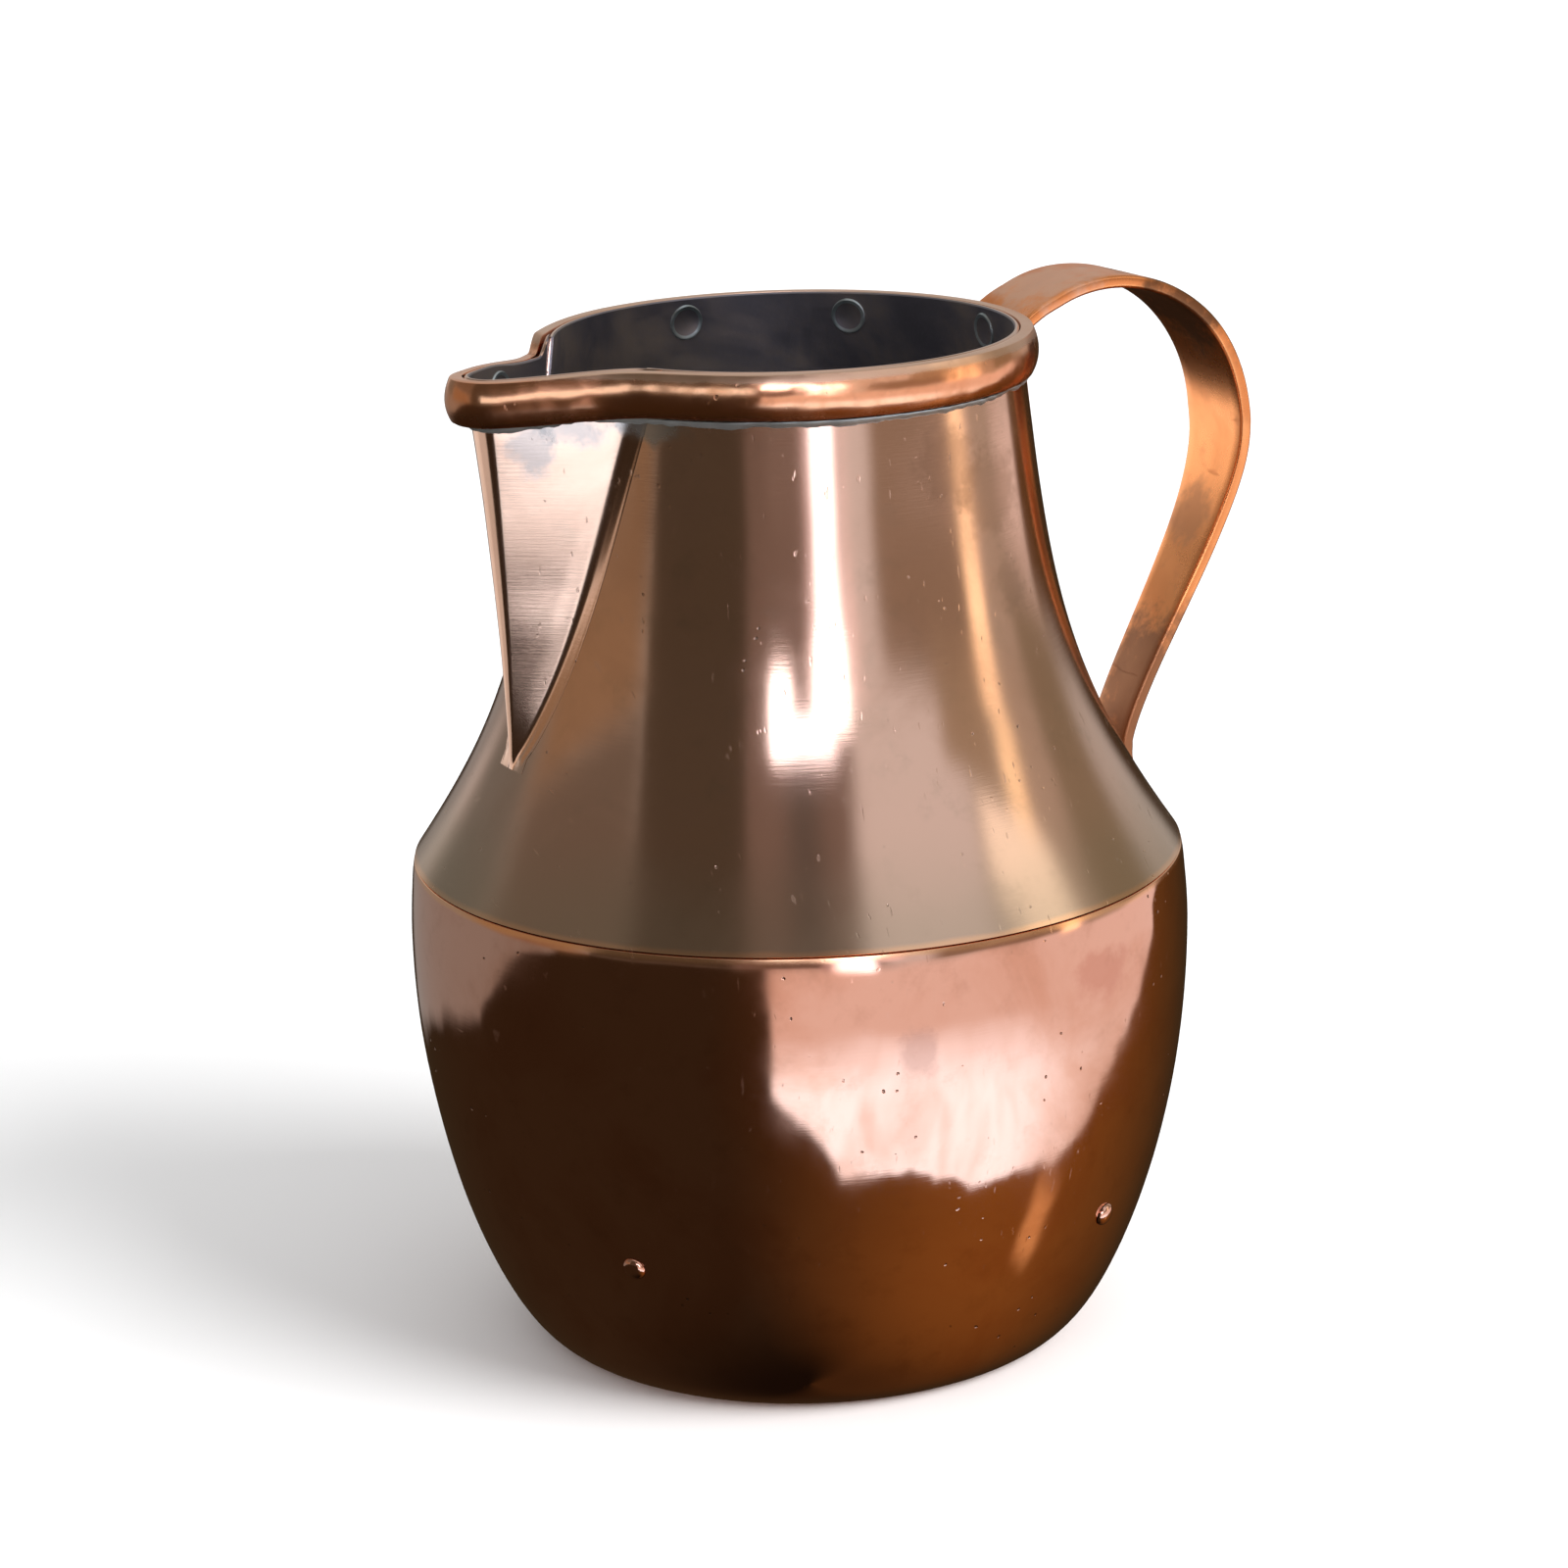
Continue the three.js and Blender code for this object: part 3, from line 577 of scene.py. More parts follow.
def makeTinning(name, base, streaked, worn, roughness):  # wiped tin, blue-black with age
    material, tree, shader, coords = startMaterial(name, 0.9, roughness)
    cloud = wavyNoise(tree, coords, 24.0, 6.0, 0.65, 0.8)
    wiped = wavyNoise(tree, stretched(tree, coords, (30.0, 30.0, 9.0)), 1.0, 5.0, 0.6, 0.6)
    fine = wavyNoise(tree, coords, 420.0, 4.0, 0.7)
    colour = blended(tree, ranged(tree, cloud, 0.38, 0.7), base, streaked)
    colour = blended(tree, times(tree, ranged(tree, wiped, 0.6, 0.8), 0.7), colour, worn)
    tree.links.new(colour, shader.inputs["Base Color"])
    rough = ranged(tree, cloud, 0.3, 0.75, roughness - 0.12, roughness + 0.15)
    tree.links.new(rough, shader.inputs["Roughness"])
    normal = bumped(tree, fine, 0.00006, 0.7, bumped(tree, wiped, 0.0006, 0.5))
    tree.links.new(normal, shader.inputs["Normal"])
    return material


agedTin = makeTinning("agedTin", (0.26, 0.25, 0.30), (0.36, 0.30, 0.27), (0.55, 0.58, 0.64), 0.44)
brightTin = makeTinning("brightTin", (0.42, 0.50, 0.53), (0.60, 0.66, 0.68), (0.75, 0.78, 0.78), 0.36)
solderTin = makeTinning("solderTin", (0.50, 0.56, 0.58), (0.66, 0.71, 0.72), (0.80, 0.84, 0.85), 0.42)
print("materials made")


# ---- bowl

def makeBowl():
    wall = bowlLine
    lining = offsetLine(wall, -bowlShape["sheet"])
    lining[0] = Vector((bowlShape["base"], bowlShape["sheet"]))
    lining[-1] = Vector((bowlShape["shoulder"] - bowlShape["sheet"], bowlShape["shoulderHeight"]))
    wall = wall[:-1] + [Vector((bowlShape["shoulder"] + 0.05, neckBottom - bowlShape["lip"])),
                        Vector((bowlShape["shoulder"] - 0.1, neckBottom - 0.2)),
                        Vector((bowlShape["shoulder"] - 0.4, neckBottom))]
    edge = bowlShape["disc"] + gap
    profile = [(edge, 0), *[tuple(p) for p in wall], *[tuple(p) for p in reversed(lining)],
               (edge, bowlShape["sheet"]), (edge, 0)]
    piece = spunProfile("bowlShell", profile, bowlShape["steps"])
    for vertex in piece.data.vertices:  # the raised shell isn't quite true
        co = vertex.co / mm
        across = math.hypot(co.x, co.y)
        fade = ease(co.z, 2, 20) * (1 - ease(co.z, 114, 122))
        push = unevenness(co.x, co.y, co.z) * fade - bowlShape["held"] * fade
        vertex.co.x += co.x / across * push * mm
        vertex.co.y += co.y / across * push * mm
    inside = lambda at, normal: facesAxis(at, normal) and at.z > 1 or (
        normal.z > 0.5 and bowlShape["tinFrom"] < at.z < bowlShape["tinTo"])
    finished(piece, ["bowl"], "bowl_copper", bowlCopper, (agedTin, inside))


def makeBaseDisc():
    wide, thick, soft = bowlShape["disc"], bowlShape["sheet"], 0.15
    profile = [(0, 0), (wide - soft, 0), (wide, soft), (wide, thick - soft), (wide - soft, thick)]
    profile += [(wide * (1 - i / 8), thick) for i in range(1, 9)]
    piece = spunProfile("baseDisc", profile, 96)
    finished(piece, ["base_disc"], "bowl_copper", bowlCopper, (agedTin, lambda at, normal: normal.z > 0.5))


makeBowl()
makeBaseDisc()
print("bowl made")


# ---- neck, cut away behind the spout

def neckPush(turn, height):  # the neck isn't quite true either, and the spout's lap follows it
    swell = ease(height, neckBottom, neckBottom + 14) * (1 - ease(height, neckTop - 40, neckTop - 18))
    wave = unevenness(math.cos(turn) * 70, math.sin(turn) * 70, height, neckShape["wave"])
    return (wave - neckShape["held"]) * swell


def seamAngle(height):
    if height <= spoutBottom:
        return 0.0
    half, seam = spoutForm(height)[1:3]
    return math.atan2(half, seam) - 1.0 / lineRadius(neckLine, height)


def makeNeck():
    rows, columns, sheet, soft = (neckShape[k] for k in ("rows", "columns", "sheet", "soft"))
    low, start = neckBottom - neckShape["skirt"], neckBottom + gap
    outside = [mix(start, neckTop - soft, i / rows) for i in range(rows + 1)]
    skirtOuter = bowlShape["shoulder"] - 2 * bowlShape["sheet"] + neckShape["skirtOut"]
    profile = [("skirt", skirtOuter - sheet, low), ("skirt", skirtOuter, low), ("skirt", skirtOuter, start)]
    profile += [("wall", 0.0, height) for height in outside]
    profile += [("wall", soft, neckTop), ("wall", sheet - soft, neckTop)]
    profile += [("wall", sheet, height) for height in reversed(outside[1:])]
    profile += [("skirt", skirtOuter - sheet, start), profile[0]]

    def place(i, j):
        kind, depth, height = profile[j]
        seam = seamAngle(height)
        edge = i in (0, columns)
        if edge and seam and kind == "wall":
            depth = sheet / 2
        share = (min(max(i - 1, 0), columns - 2) / (columns - 2)) if seam else i / columns
        turn = mix(seam, 2 * math.pi - seam, share)
        if edge and seam:
            turn += neckShape["slit"] if i else -neckShape["slit"]
        if kind == "skirt":
            radius = depth
        else:
            lean = lineLean(neckLine, height)
            radius = lineRadius(neckLine, height) - depth * lean.x
            height = height - depth * lean.y if height < neckTop - 1 else height
            radius += neckPush(turn, height)
        return (-radius * math.cos(turn), radius * math.sin(turn), height)

    piece = shapedGrid("neckShell", columns, len(profile) - 1, place)
    finished(piece, ["neck"], "neck_copper", neckCopper, (agedTin, facesAxis))


makeNeck()
print("neck made")


# ---- spout

def makeSpout():
    rows, columns = spoutShape["rows"], spoutShape["columns"]
    sheet, soft = neckShape["sheet"], neckShape["soft"]
    low = spoutBottom - spoutShape["lap"]
    outside = [mix(low, neckTop - soft, i / rows) for i in range(rows + 1)]
    profile = [(height, 0.0) for height in outside] + [(neckTop, soft), (neckTop, sheet - soft)]
    profile += [(height, sheet) for height in reversed(outside)] + [(outside[0], 0.0)]
    forms = {height: spoutForm(height) for height in outside + [neckTop]}

    def place(i, j):
        height, depth = profile[j]
        form = forms[height]
        rise, half, seam = form[:3]
        wall = lineRadius(neckLine, height)
        width = math.atan2(half, seam) + spoutShape["lap"] / wall
        turn = width * (2 * i / columns - 1)
        wall += neckPush(turn, height)
        lowest = wall + spoutShape["above"]
        inner = softMax(lowest, spoutRadius(form, turn, sheet), spoutShape["innerFillet"])
        thinFrom = width - 0.8 * spoutShape["lap"] / wall
        lift = spoutShape["lapSheet"] * (1 - ease(abs(turn), thinFrom, width))
        lift *= ease(height, low, spoutBottom)
        fillet = mix(spoutShape["tipFillet"], spoutShape["fillet"], rise ** 0.6)
        bare = spoutRadius(form, turn)
        outer = max(softMax(lowest + lift, bare, fillet), inner + spoutShape["thinnest"])
        if i in (0, columns) or height == low:
            inner = outer = lowest
        free = ease(bare - wall, 1, 5)
        wave = unevenness(turn * 60, height, 3, 0.2, 0.06) * free * (1 - ease(height, 225, 236))
        radius = mix(outer, inner, depth / sheet) + wave - spoutShape["held"] * free
        x, y = -radius * math.cos(turn), radius * math.sin(turn)
        return (x, y, height - hang(x, y, height))

    piece = shapedGrid("spoutSheet", columns, len(profile) - 1, place)
    finished(piece, ["spout"], "neck_copper", neckCopper, (agedTin, facesAxis))


makeSpout()
print("spout made")


# ---- rim: outline of the mouth with the spout, seen from above

rimShape = {"height": 11, "depth": 4.9, "top": 3.2, "foot": 2.8, "fineSteps": 1440, "steps": 360,
            "pinch": 7.0, "spoutTurn": 1.2, "held": 0.2, "beadGap": 0.05, "beadIn": -1.35}


def mouthOutline():
    form = spoutForm(neckTop)
    points = []
    for i in range(rimShape["fineSteps"]):
        turn = math.pi * (2 * i / rimShape["fineSteps"] - 1)
        folded = spoutRadius(form, turn) if abs(turn) < rimShape["spoutTurn"] else 0.0
        radius = softMax(neckShape["rim"], folded, rimShape["pinch"])
        points.append(Vector((-radius * math.cos(turn), radius * math.sin(turn))))
    return evenly([*points, points[0]], rimShape["steps"])


def outwardNormals(points):
    count = len(points) - 1
    normals = []
    for i in range(count + 1):
        along = (points[(i + 1) % count] - points[(i - 1) % count]).normalized()
        normals.append(Vector((-along.y, along.x)))
    return normals


mouthLine = mouthOutline()
mouthNormals = outwardNormals(mouthLine)
if mouthNormals[0].dot(mouthLine[0]) < 0:
    mouthNormals = [-n for n in mouthNormals]


def rimSection():  # half-round bar as (out, height above its lower edge)
    tall, deep = rimShape["height"], rimShape["depth"]
    section = [(0.35, 0.0), (1.5, 0.0), (rimShape["foot"] - 0.2, 0.15)]
    for i in range(1, 18):
        t = i / 18
        straight = mix(rimShape["foot"], rimShape["top"], t)
        section.append((mix(straight, deep, math.sin(t * math.pi) ** 0.62), t * tall))
    section += [(rimShape["top"] + 0.25, tall - 0.12), (rimShape["top"] - 0.2, tall), (1.6, tall + 0.02),
                (0.4, tall - 0.05), (0.3, tall - 0.4), (0.35, 0.0)]
    return section


def onRim(i, out, height):
    point = mouthLine[i] + mouthNormals[i] * out
    return (point.x, point.y, height - hang(point.x, point.y, neckTop))


def makeMoulding():
    section = rimSection()
    foot = neckTop - rimShape["height"]

    def place(i, j):
        out, up = section[j]
        i = i % rimShape["steps"]
        at = mouthLine[i]
        wave = noise.noise(Vector((at.x, at.y, 5 + up * 0.4)) * 0.06)
        swell = ease(out, 2.5, 4.2)
        out += (0.22 * wave - rimShape["held"]) * swell
        return onRim(i, out, foot + up + 0.14 * wave * (1 - up / rimShape["height"]))

    piece = shapedGrid("rimMoulding", rimShape["steps"], len(section) - 1, place)
    finished(piece, ["rim_moulding"], "rim_copper", rimCopper)


def makeBead():
    top = neckTop - rimShape["height"] - rimShape["beadGap"]
    section = [(-0.2, 0.0), (1.3, 0.0), (1.15, -0.45), (0.7, -0.95), (0.25, -1.35), (-0.2, -1.5)]
    section.append(section[0])

    def place(i, j):
        out, up = section[j]
        i = i % rimShape["steps"]
        at = mouthLine[i]
        lump = 1 + 0.55 * noise.noise(Vector((at.x, at.y, 1)) * 0.12)
        lump += 0.3 * noise.noise(Vector((at.x, at.y, 9)) * 0.5)
        wall = lineRadius(neckLine, top + up) - neckShape["rim"]
        spoutShare = ease(-at.x, 46, 58)
        lean = mix(wall, rimShape["beadIn"], spoutShare)
        point = at + mouthNormals[i] * (lean + (max(out, 0) * lump if out > 0 else out))
        return (point.x, point.y, top + up * lump - hang(at.x, at.y, neckTop))

    piece = shapedGrid("rimSolderBead", rimShape["steps"], len(section) - 1, place)
    finished(piece, ["rim_solder"], "tin", solderTin)


makeMoulding()
makeBead()
print("rim made")


# ---- handle strap

strapShape = {
    "width": 25.4, "foot": 16, "taperDepth": 34, "taperCurve": 2.2, "thick": 3.2, "tail": 48, "bend": 13,
    "bendPull": 0.6, "bendPlace": 0.66, "exitDepth": 4.7, "exitOut": 4.5, "archRise": 20,
    "archFullness": 41, "reach": 68.9, "waist": 38, "waistFullness": 22, "landing": 13.5,
    "landingInset": 0.4, "touchShare": 2.2, "landingPull": 18.5, "landingSpread": 4, "footDepth": 28,
    "corner": 0.9, "crown": 0.1, "roundness": 3.0, "hold": 12, "tailHold": 6, "wave": 0.08,
    "steps": 190}


def strapLine():
    rim, lift = neckShape["rim"], gap + strapShape["thick"] / 2

    def on(line, height, away):
        return Vector((lineRadius(line, height), height)) + lineLean(line, height) * away

    low, high = neckTop - strapShape["tail"], neckTop - strapShape["bend"]
    tail = [on(neckLine, mix(low, high, i / 8), lift) for i in range(9)]
    leave = tail[-1]
    exitPoint = Vector((rim + strapShape["exitOut"], neckTop - strapShape["exitDepth"]))
    bendUp = Vector((leave.x - strapShape["bendPull"], mix(leave.y, exitPoint.y, strapShape["bendPlace"])))
    waist = Vector((rim + strapShape["reach"], neckTop - strapShape["waist"]))
    touch = on(neckLine, neckBottom + strapShape["landing"] / strapShape["touchShare"], lift + gap)
    landing = Vector((touch.x - strapShape["landingInset"], neckBottom + strapShape["landing"]))
    pull = strapShape["landingPull"]
    crease = Vector((bowlShape["shoulder"] + lift + gap, neckBottom + gap))
    feet = [on(bowlLine, neckBottom - strapShape["footDepth"] * s, lift + gap) for s in (1 / 3, 2 / 3, 1)]
    line = tail + sampled([leave, bendUp, exitPoint], 8)[1:]
    line += sampled([exitPoint, exitPoint + Vector((strapShape["archRise"],) * 2),
                     waist + Vector((0, strapShape["archFullness"])), waist], 40)[1:]
    line += sampled([waist, waist - Vector((0, strapShape["waistFullness"])),
                     landing + Vector((pull / strapShape["landingSpread"], pull)), landing], 30)[1:]
    line += throughPoints([landing, touch, crease, *feet], 6)[1:]
    return evenly(line, strapShape["steps"])


def makeStrap():
    line = strapLine()
    steps = strapShape["steps"]
    length = sum((b - a).length for a, b in zip(line, line[1:]))
    start = neckTop - strapShape["taperDepth"]
    corner, halfThick = strapShape["corner"], strapShape["thick"] / 2
    rim = []  # (side of the middle, across from the edge, through) round one section
    for side, upDown in ((1, 1), (1, -1), (-1, -1), (-1, 1)):
        for k in range(5):
            angle = math.radians(22.5 * (k if side * upDown < 0 else 4 - k))
            through = halfThick - corner * (1 - math.sin(angle))
            rim.append((side, corner * (1 - math.cos(angle)), upDown * through))
        if upDown == -side:  # the broad faces get points of their own
            for s in (0.75, 0.5, 0.25, 0.0, -0.25, -0.5, -0.75):
                rim.append(("face", s * side, upDown * halfThick))
    rim.append(rim[0])

    def place(i, j):
        j = min(max(j, 1), steps - 1) if j not in (0, steps) else j
        point = line[j]
        along = (line[min(j + 1, steps)] - line[max(j - 1, 0)]).normalized()
        travelled = length * j / steps
        toEnd = min(travelled, length - travelled)
        fallen = clamp((start - point.y) / (start - neckBottom)) if along.y < 0 else 0
        half = mix(strapShape["foot"], strapShape["width"], (1 - fallen) ** strapShape["taperCurve"]) / 2
        half *= 1 + 0.012 * noise.noise(Vector((travelled, 0, 0)) * 0.05)
        rounded = math.sqrt(max(half ** 2 - max(half - toEnd, 0) ** 2, 0))
        side, across, through = rim[i]
        if j in (0, steps):
            sideways = through = 0.0
        elif side == "face":
            sideways = across * (max(rounded, strapShape["roundness"]) - corner)
        else:
            sideways = side * (max(rounded, strapShape["roundness"]) - across)
        hold, left = strapShape["hold"], length - travelled
        onNeck = clamp((strapShape["tail"] + strapShape["tailHold"] - travelled) / hold) / neckShape["rim"]
        onBowl = clamp((strapShape["footDepth"] + strapShape["landing"] - left) / hold) / bowlShape["belly"]
        free = 1 - clamp(onNeck * 60) - clamp(onBowl * 97)
        crown = strapShape["crown"] * max(free, 0) * (1 - (sideways / half) ** 2)
        through += crown if through > 0 else -crown * 0.2
        lifted = through + (onBowl - onNeck) * sideways ** 2 / 2
        lifted += strapShape["wave"] * noise.noise(Vector((travelled * 0.06, sideways * 0.08, 2))) + 0.09
        return (point.x + along.y * lifted, sideways, point.y - along.x * lifted)

    piece = shapedGrid("handleStrap", len(rim) - 1, steps, place)
    finished(piece, ["handle_strap"], "handle_copper", handleCopper)


makeStrap()
print("handle made")


# ---- rivets

rivetShape = {
    "head": 4.6, "thin": 0.35, "shank": 2.2, "ring": 0.75, "rimDepth": 6, "angles": (-90, -45, 0, 45, 88),
    "place": 0.25, "seamRun": 9.6, "dome": 3.8, "domeRise": 1.8, "tailDepth": 37, "footTop": 11.2,
    "footSpacing": 10.4, "bowlHeight": 41.5, "bowlAngles": (-146, -63, 34, 117), "bowlDome": 2.9,
    "bowlRise": 1.5, "steps": 40}


def wallFrame(line, height, degrees):
    turn = math.radians(degrees)
    lean = lineLean(line, height)
    radius = lineRadius(line, height)
    at = Vector((radius * math.cos(turn), radius * math.sin(turn), height))
    return at, Vector((lean.x * math.cos(turn), lean.x * math.sin(turn), lean.y))


def placed(piece, at, normal):  # the rivet's own Z goes along the wall's normal
    piece.matrix_world = Matrix.Translation(at * mm) @ normal.to_track_quat("Z", "Y").to_matrix().to_4x4()
    pick(piece)
    bpy.ops.object.transform_apply(location=True, rotation=True, scale=True)


def dome(radius, rise, start, steps=7):
    angles = [math.radians(90 * i / steps) for i in range(steps + 1)]
    points = [(radius * math.cos(a), start + rise * math.sin(a)) for a in angles]
    return points[:-1] + [(0.0, start + rise)]


def setRivet(name, node, profile, at, normal, slot, material, isBright):  # turned, tinned, then set in place
    piece = spunProfile(name, profile, rivetShape["steps"])
    bright = [f.index for f in piece.data.polygons
              if isBright(math.hypot(f.center.x, f.center.y), f.center.z)]
    placed(piece, at, normal)
    finished(piece, [node], slot, material)
    piece.data.materials.append(brightTin)
    for index in bright:
        piece.data.polygons[index].material_index = 1


def makeRimRivet(name, node, at, normal):
    head, ring, shank = (rivetShape[k] for k in ("head", "ring", "shank"))
    face = -neckShape["sheet"]
    end = face - rivetShape["thin"]
    profile = [(0, end + 0.12), (head - 1.6 * ring, end + 0.1), (head - 1.15 * ring, end - 0.06),
               (head - 0.5 * ring, end - 0.12), (head - 0.12, face - 0.12), (head, face + 0.02),
               (shank, face + 0.02), (shank, 1.6), (0, 1.6)]
    isBright = lambda out, up: out > (head - 1.45 * ring) * mm
    setRivet(name, node, profile, at, normal, "tin", agedTin, isBright)


def makeDomedRivet(name, node, at, normal, outer, radius, rise, inner, slot, copper, ringed=False):
    shank = min(rivetShape["shank"], radius * 0.8)
    profile = [(0, -1.75), (inner - 0.5, -1.75), (inner, -1.5), (inner, -1.22)]
    profile += [(shank, -1.22), (shank, outer)]
    if ringed:
        profile += [(radius + 0.9, outer - 0.05), (radius + 0.7, outer + 0.2), (radius + 0.1, outer + 0.28)]
    profile += dome(radius, rise, outer + (0.25 if ringed else 0.0))
    isBright = lambda out, up: up < -1.0 * mm or (ringed and out > (radius + 0.02) * mm)
    setRivet(name, node, profile, at, normal, slot, copper, isBright)


def makeRivets():
    number = 0
    for degrees in rivetShape["angles"]:
        number += 1
        at, normal = wallFrame(neckLine, neckTop - rivetShape["rimDepth"], degrees)
        makeRimRivet(f"rimRivet{number}", f"rim_rivet_{number}", at, normal)
    height = neckTop - rivetShape["rimDepth"]
    half, seam, centre, nose, turn = spoutForm(height)[1:]
    for side in (-1, 1):  # on the spout's cheeks
        number += 1
        first = Vector((centre + nose * math.cos(turn), nose * math.sin(turn)))
        run = math.sqrt((seam - centre) ** 2 + half ** 2 - nose ** 2) + min(half / 2, rivetShape["seamRun"])
        at = first + Vector((-math.sin(turn), math.cos(turn))) * run * rivetShape["place"]
        drop = hang(-at.x, side * at.y, height)
        normal = Vector((-math.cos(turn), side * math.sin(turn), -0.08)).normalized()
        at = Vector((-at.x, side * at.y, height - drop))
        makeRimRivet(f"rimRivet{number}", f"rim_rivet_{number}", at, normal)
    at, normal = wallFrame(neckLine, neckTop - rivetShape["tailDepth"], 0)
    makeDomedRivet("tailRivet", "tail_rivet", at, normal, 3.5, rivetShape["dome"], rivetShape["domeRise"],
                   rivetShape["head"], "handle_copper", handleCopper)
    for i in range(2):
        height = neckBottom - rivetShape["footTop"] - i * rivetShape["footSpacing"]
        at, normal = wallFrame(bowlLine, height, 0)
        makeDomedRivet(f"footRivet{i + 1}", f"foot_rivet_{i + 1}", at, normal, 3.8, rivetShape["dome"],
                       rivetShape["domeRise"], rivetShape["head"], "handle_copper", handleCopper)
    for i, degrees in enumerate(rivetShape["bowlAngles"]):
        at, normal = wallFrame(bowlLine, rivetShape["bowlHeight"], degrees)
        makeDomedRivet(f"bowlRivet{i + 1}", f"bowl_rivet_{i + 1}", at, normal, 0.0, rivetShape["bowlDome"],
                       rivetShape["bowlRise"], rivetShape["bowlDome"], "bowl_copper", bowlCopper, i in (2,))


makeRivets()
print("rivets made")


# ---- studio: pale floor, soft light, and a room that only the polished copper sees

studio = {"floorSize": 12, "floor": (0.93, 0.93, 0.935), "sky": 0.77, "keyPlace": (0.72, -1.2, 0.95),
          "keySpread": 38, "keyPower": 3.5}

# small lights that light only the pieces named last: name, place, size, power, colour, aim, pieces
touchUps = [
    ("cheekLight", (-0.322, -0.250, 0.120), (0.18, 0.078), 0.100,
     (0.78, 0.87, 0.98), (-0.07, -0.01, 0.2), ["spoutSheet"]),
    ("keelLight", (-0.400, 0.330, 0.060), (0.75, 0.28), 0.450,
     (1.0, 0.95, 0.9), (-0.08, 0, 0.21), ["spoutSheet"]),
    ("rimLight", (-0.378, -0.251, 0.320), (0.22, 0.09), 0.085,
     (0.8, 0.92, 1.0), (-0.07, -0.01, 0.245), ["rimMoulding"]),
    ("handleLight", (-0.12, 0.62, 0.16), (0.5, 0.4), 0.75,
     (1, 1, 1), (0.11, 0, 0.2), ["handleStrap", "tailRivet"]),
]


def makeFloor():
    bpy.ops.object.select_all(action="DESELECT")
    bpy.ops.mesh.primitive_plane_add(size=studio["floorSize"], location=(0, 0, -0.0002))
    floor = bpy.context.object
    floor.name = "studioFloor"
    material, tree, shader, coords = startMaterial("paleFloor", 0.0, 0.9)
    grain = wavyNoise(tree, coords, 3.0, 3.0)
    tree.links.new(blended(tree, grain, studio["floor"], (0.95, 0.95, 0.95)), shader.inputs["Base Color"])
    shader.inputs["Specular IOR Level"].default_value = 0.1
    floor.data.materials.append(material)
    floor.visible_glossy = False


def softLight(name, place, size, power, colour, aim):
    bpy.ops.object.light_add(type="AREA", location=place)
    light = bpy.context.object
    light.name = name
    light.data.shape = "RECTANGLE"
    light.data.size, light.data.size_y = size
    light.data.energy = power
    light.data.color = colour
    light.rotation_euler = (Vector(aim) - light.location).to_track_quat("-Z", "Y").to_euler()
    light.visible_camera = False
    return light


def onlyFor(light, names):
    group = bpy.data.collections.new(light.name + "Pieces")
    for name in names:
        group.objects.link(bpy.data.objects[name])
    light.light_linking.receiver_collection = group


def makeLight():
    bpy.ops.object.light_add(type="SUN", location=studio["keyPlace"])
    key = bpy.context.object
    key.name = "softKey"
    key.data.angle = math.radians(studio["keySpread"])
    key.data.energy = studio["keyPower"]
    key.rotation_euler = Vector(studio["keyPlace"]).to_track_quat("Z", "Y").to_euler()
    key.visible_glossy = False
    onlyFor(key, ["studioFloor"])
    for name, place, size, power, colour, aim, pieces in touchUps:
        onlyFor(softLight(name, place, size, power, colour, aim), pieces)


# degrees round the jug from and to, degrees up from and to, softness in degrees, colour
roomPatches = [
    (-185, -134, -2, 70, 4, (0.076, 0.057, 0.036)),
    (-137, -90, -2, 70, 3, (0.20, 0.15, 0.125)),
    (-121, -108, 27, 70, 6, (0.12, 0.10, 0.085)),
    (-95, -48, -3, 70, 4, (0.76, 0.74, 0.75)),
    (-80, -34, -3, 13, 4, (0.30, 0.225, 0.165)),
    (-58, -36, 8, 24, 4, (0.40, 0.32, 0.23)),
    (-37, -28, -6, 13, 2.2, (1.8, 1.4, 0.95)),
    (-34, -25, 13, 32, 2.2, (1.5, 1.2, 0.78)),
    (-26, -10, -6, 30, 4, (0.48, 0.41, 0.34)),
    (-46, -20, 26, 38, 4, (1.35, 1.26, 1.10)),
    (-12, 12, -3, 70, 4, (0.28, 0.235, 0.165)),
    (12, 100, -3, 70, 8, (0.50, 0.48, 0.45)),
    (100, 132, 0, 70, 8, (0.19, 0.19, 0.17)),
    (132, 178, -3, 16, 6, (0.31, 0.21, 0.125)),
    (132, 180, 16, 70, 6, (0.17, 0.14, 0.11)),
    (-127, -119, 14, 27, 1.4, (5.5, 5.6, 6.3)),
    (-112, -109, -4, 24, 1.5, (0.55, 0.42, 0.42)),
    (-108, -97, -4, 21, 1.8, (3.0, 3.0, 3.4)),
    (-109, -96, 9, 22, 1.6, (5.4, 5.5, 6.2)),
    (-96, -90, 2, 18, 2.0, (1.05, 0.90, 0.92)),
    (-126, -102, 21, 27, 1.8, (4.0, 4.1, 4.8)),
    (-33, -22, -46, -37, 2.5, (0.75, 0.43, 0.18)),
]


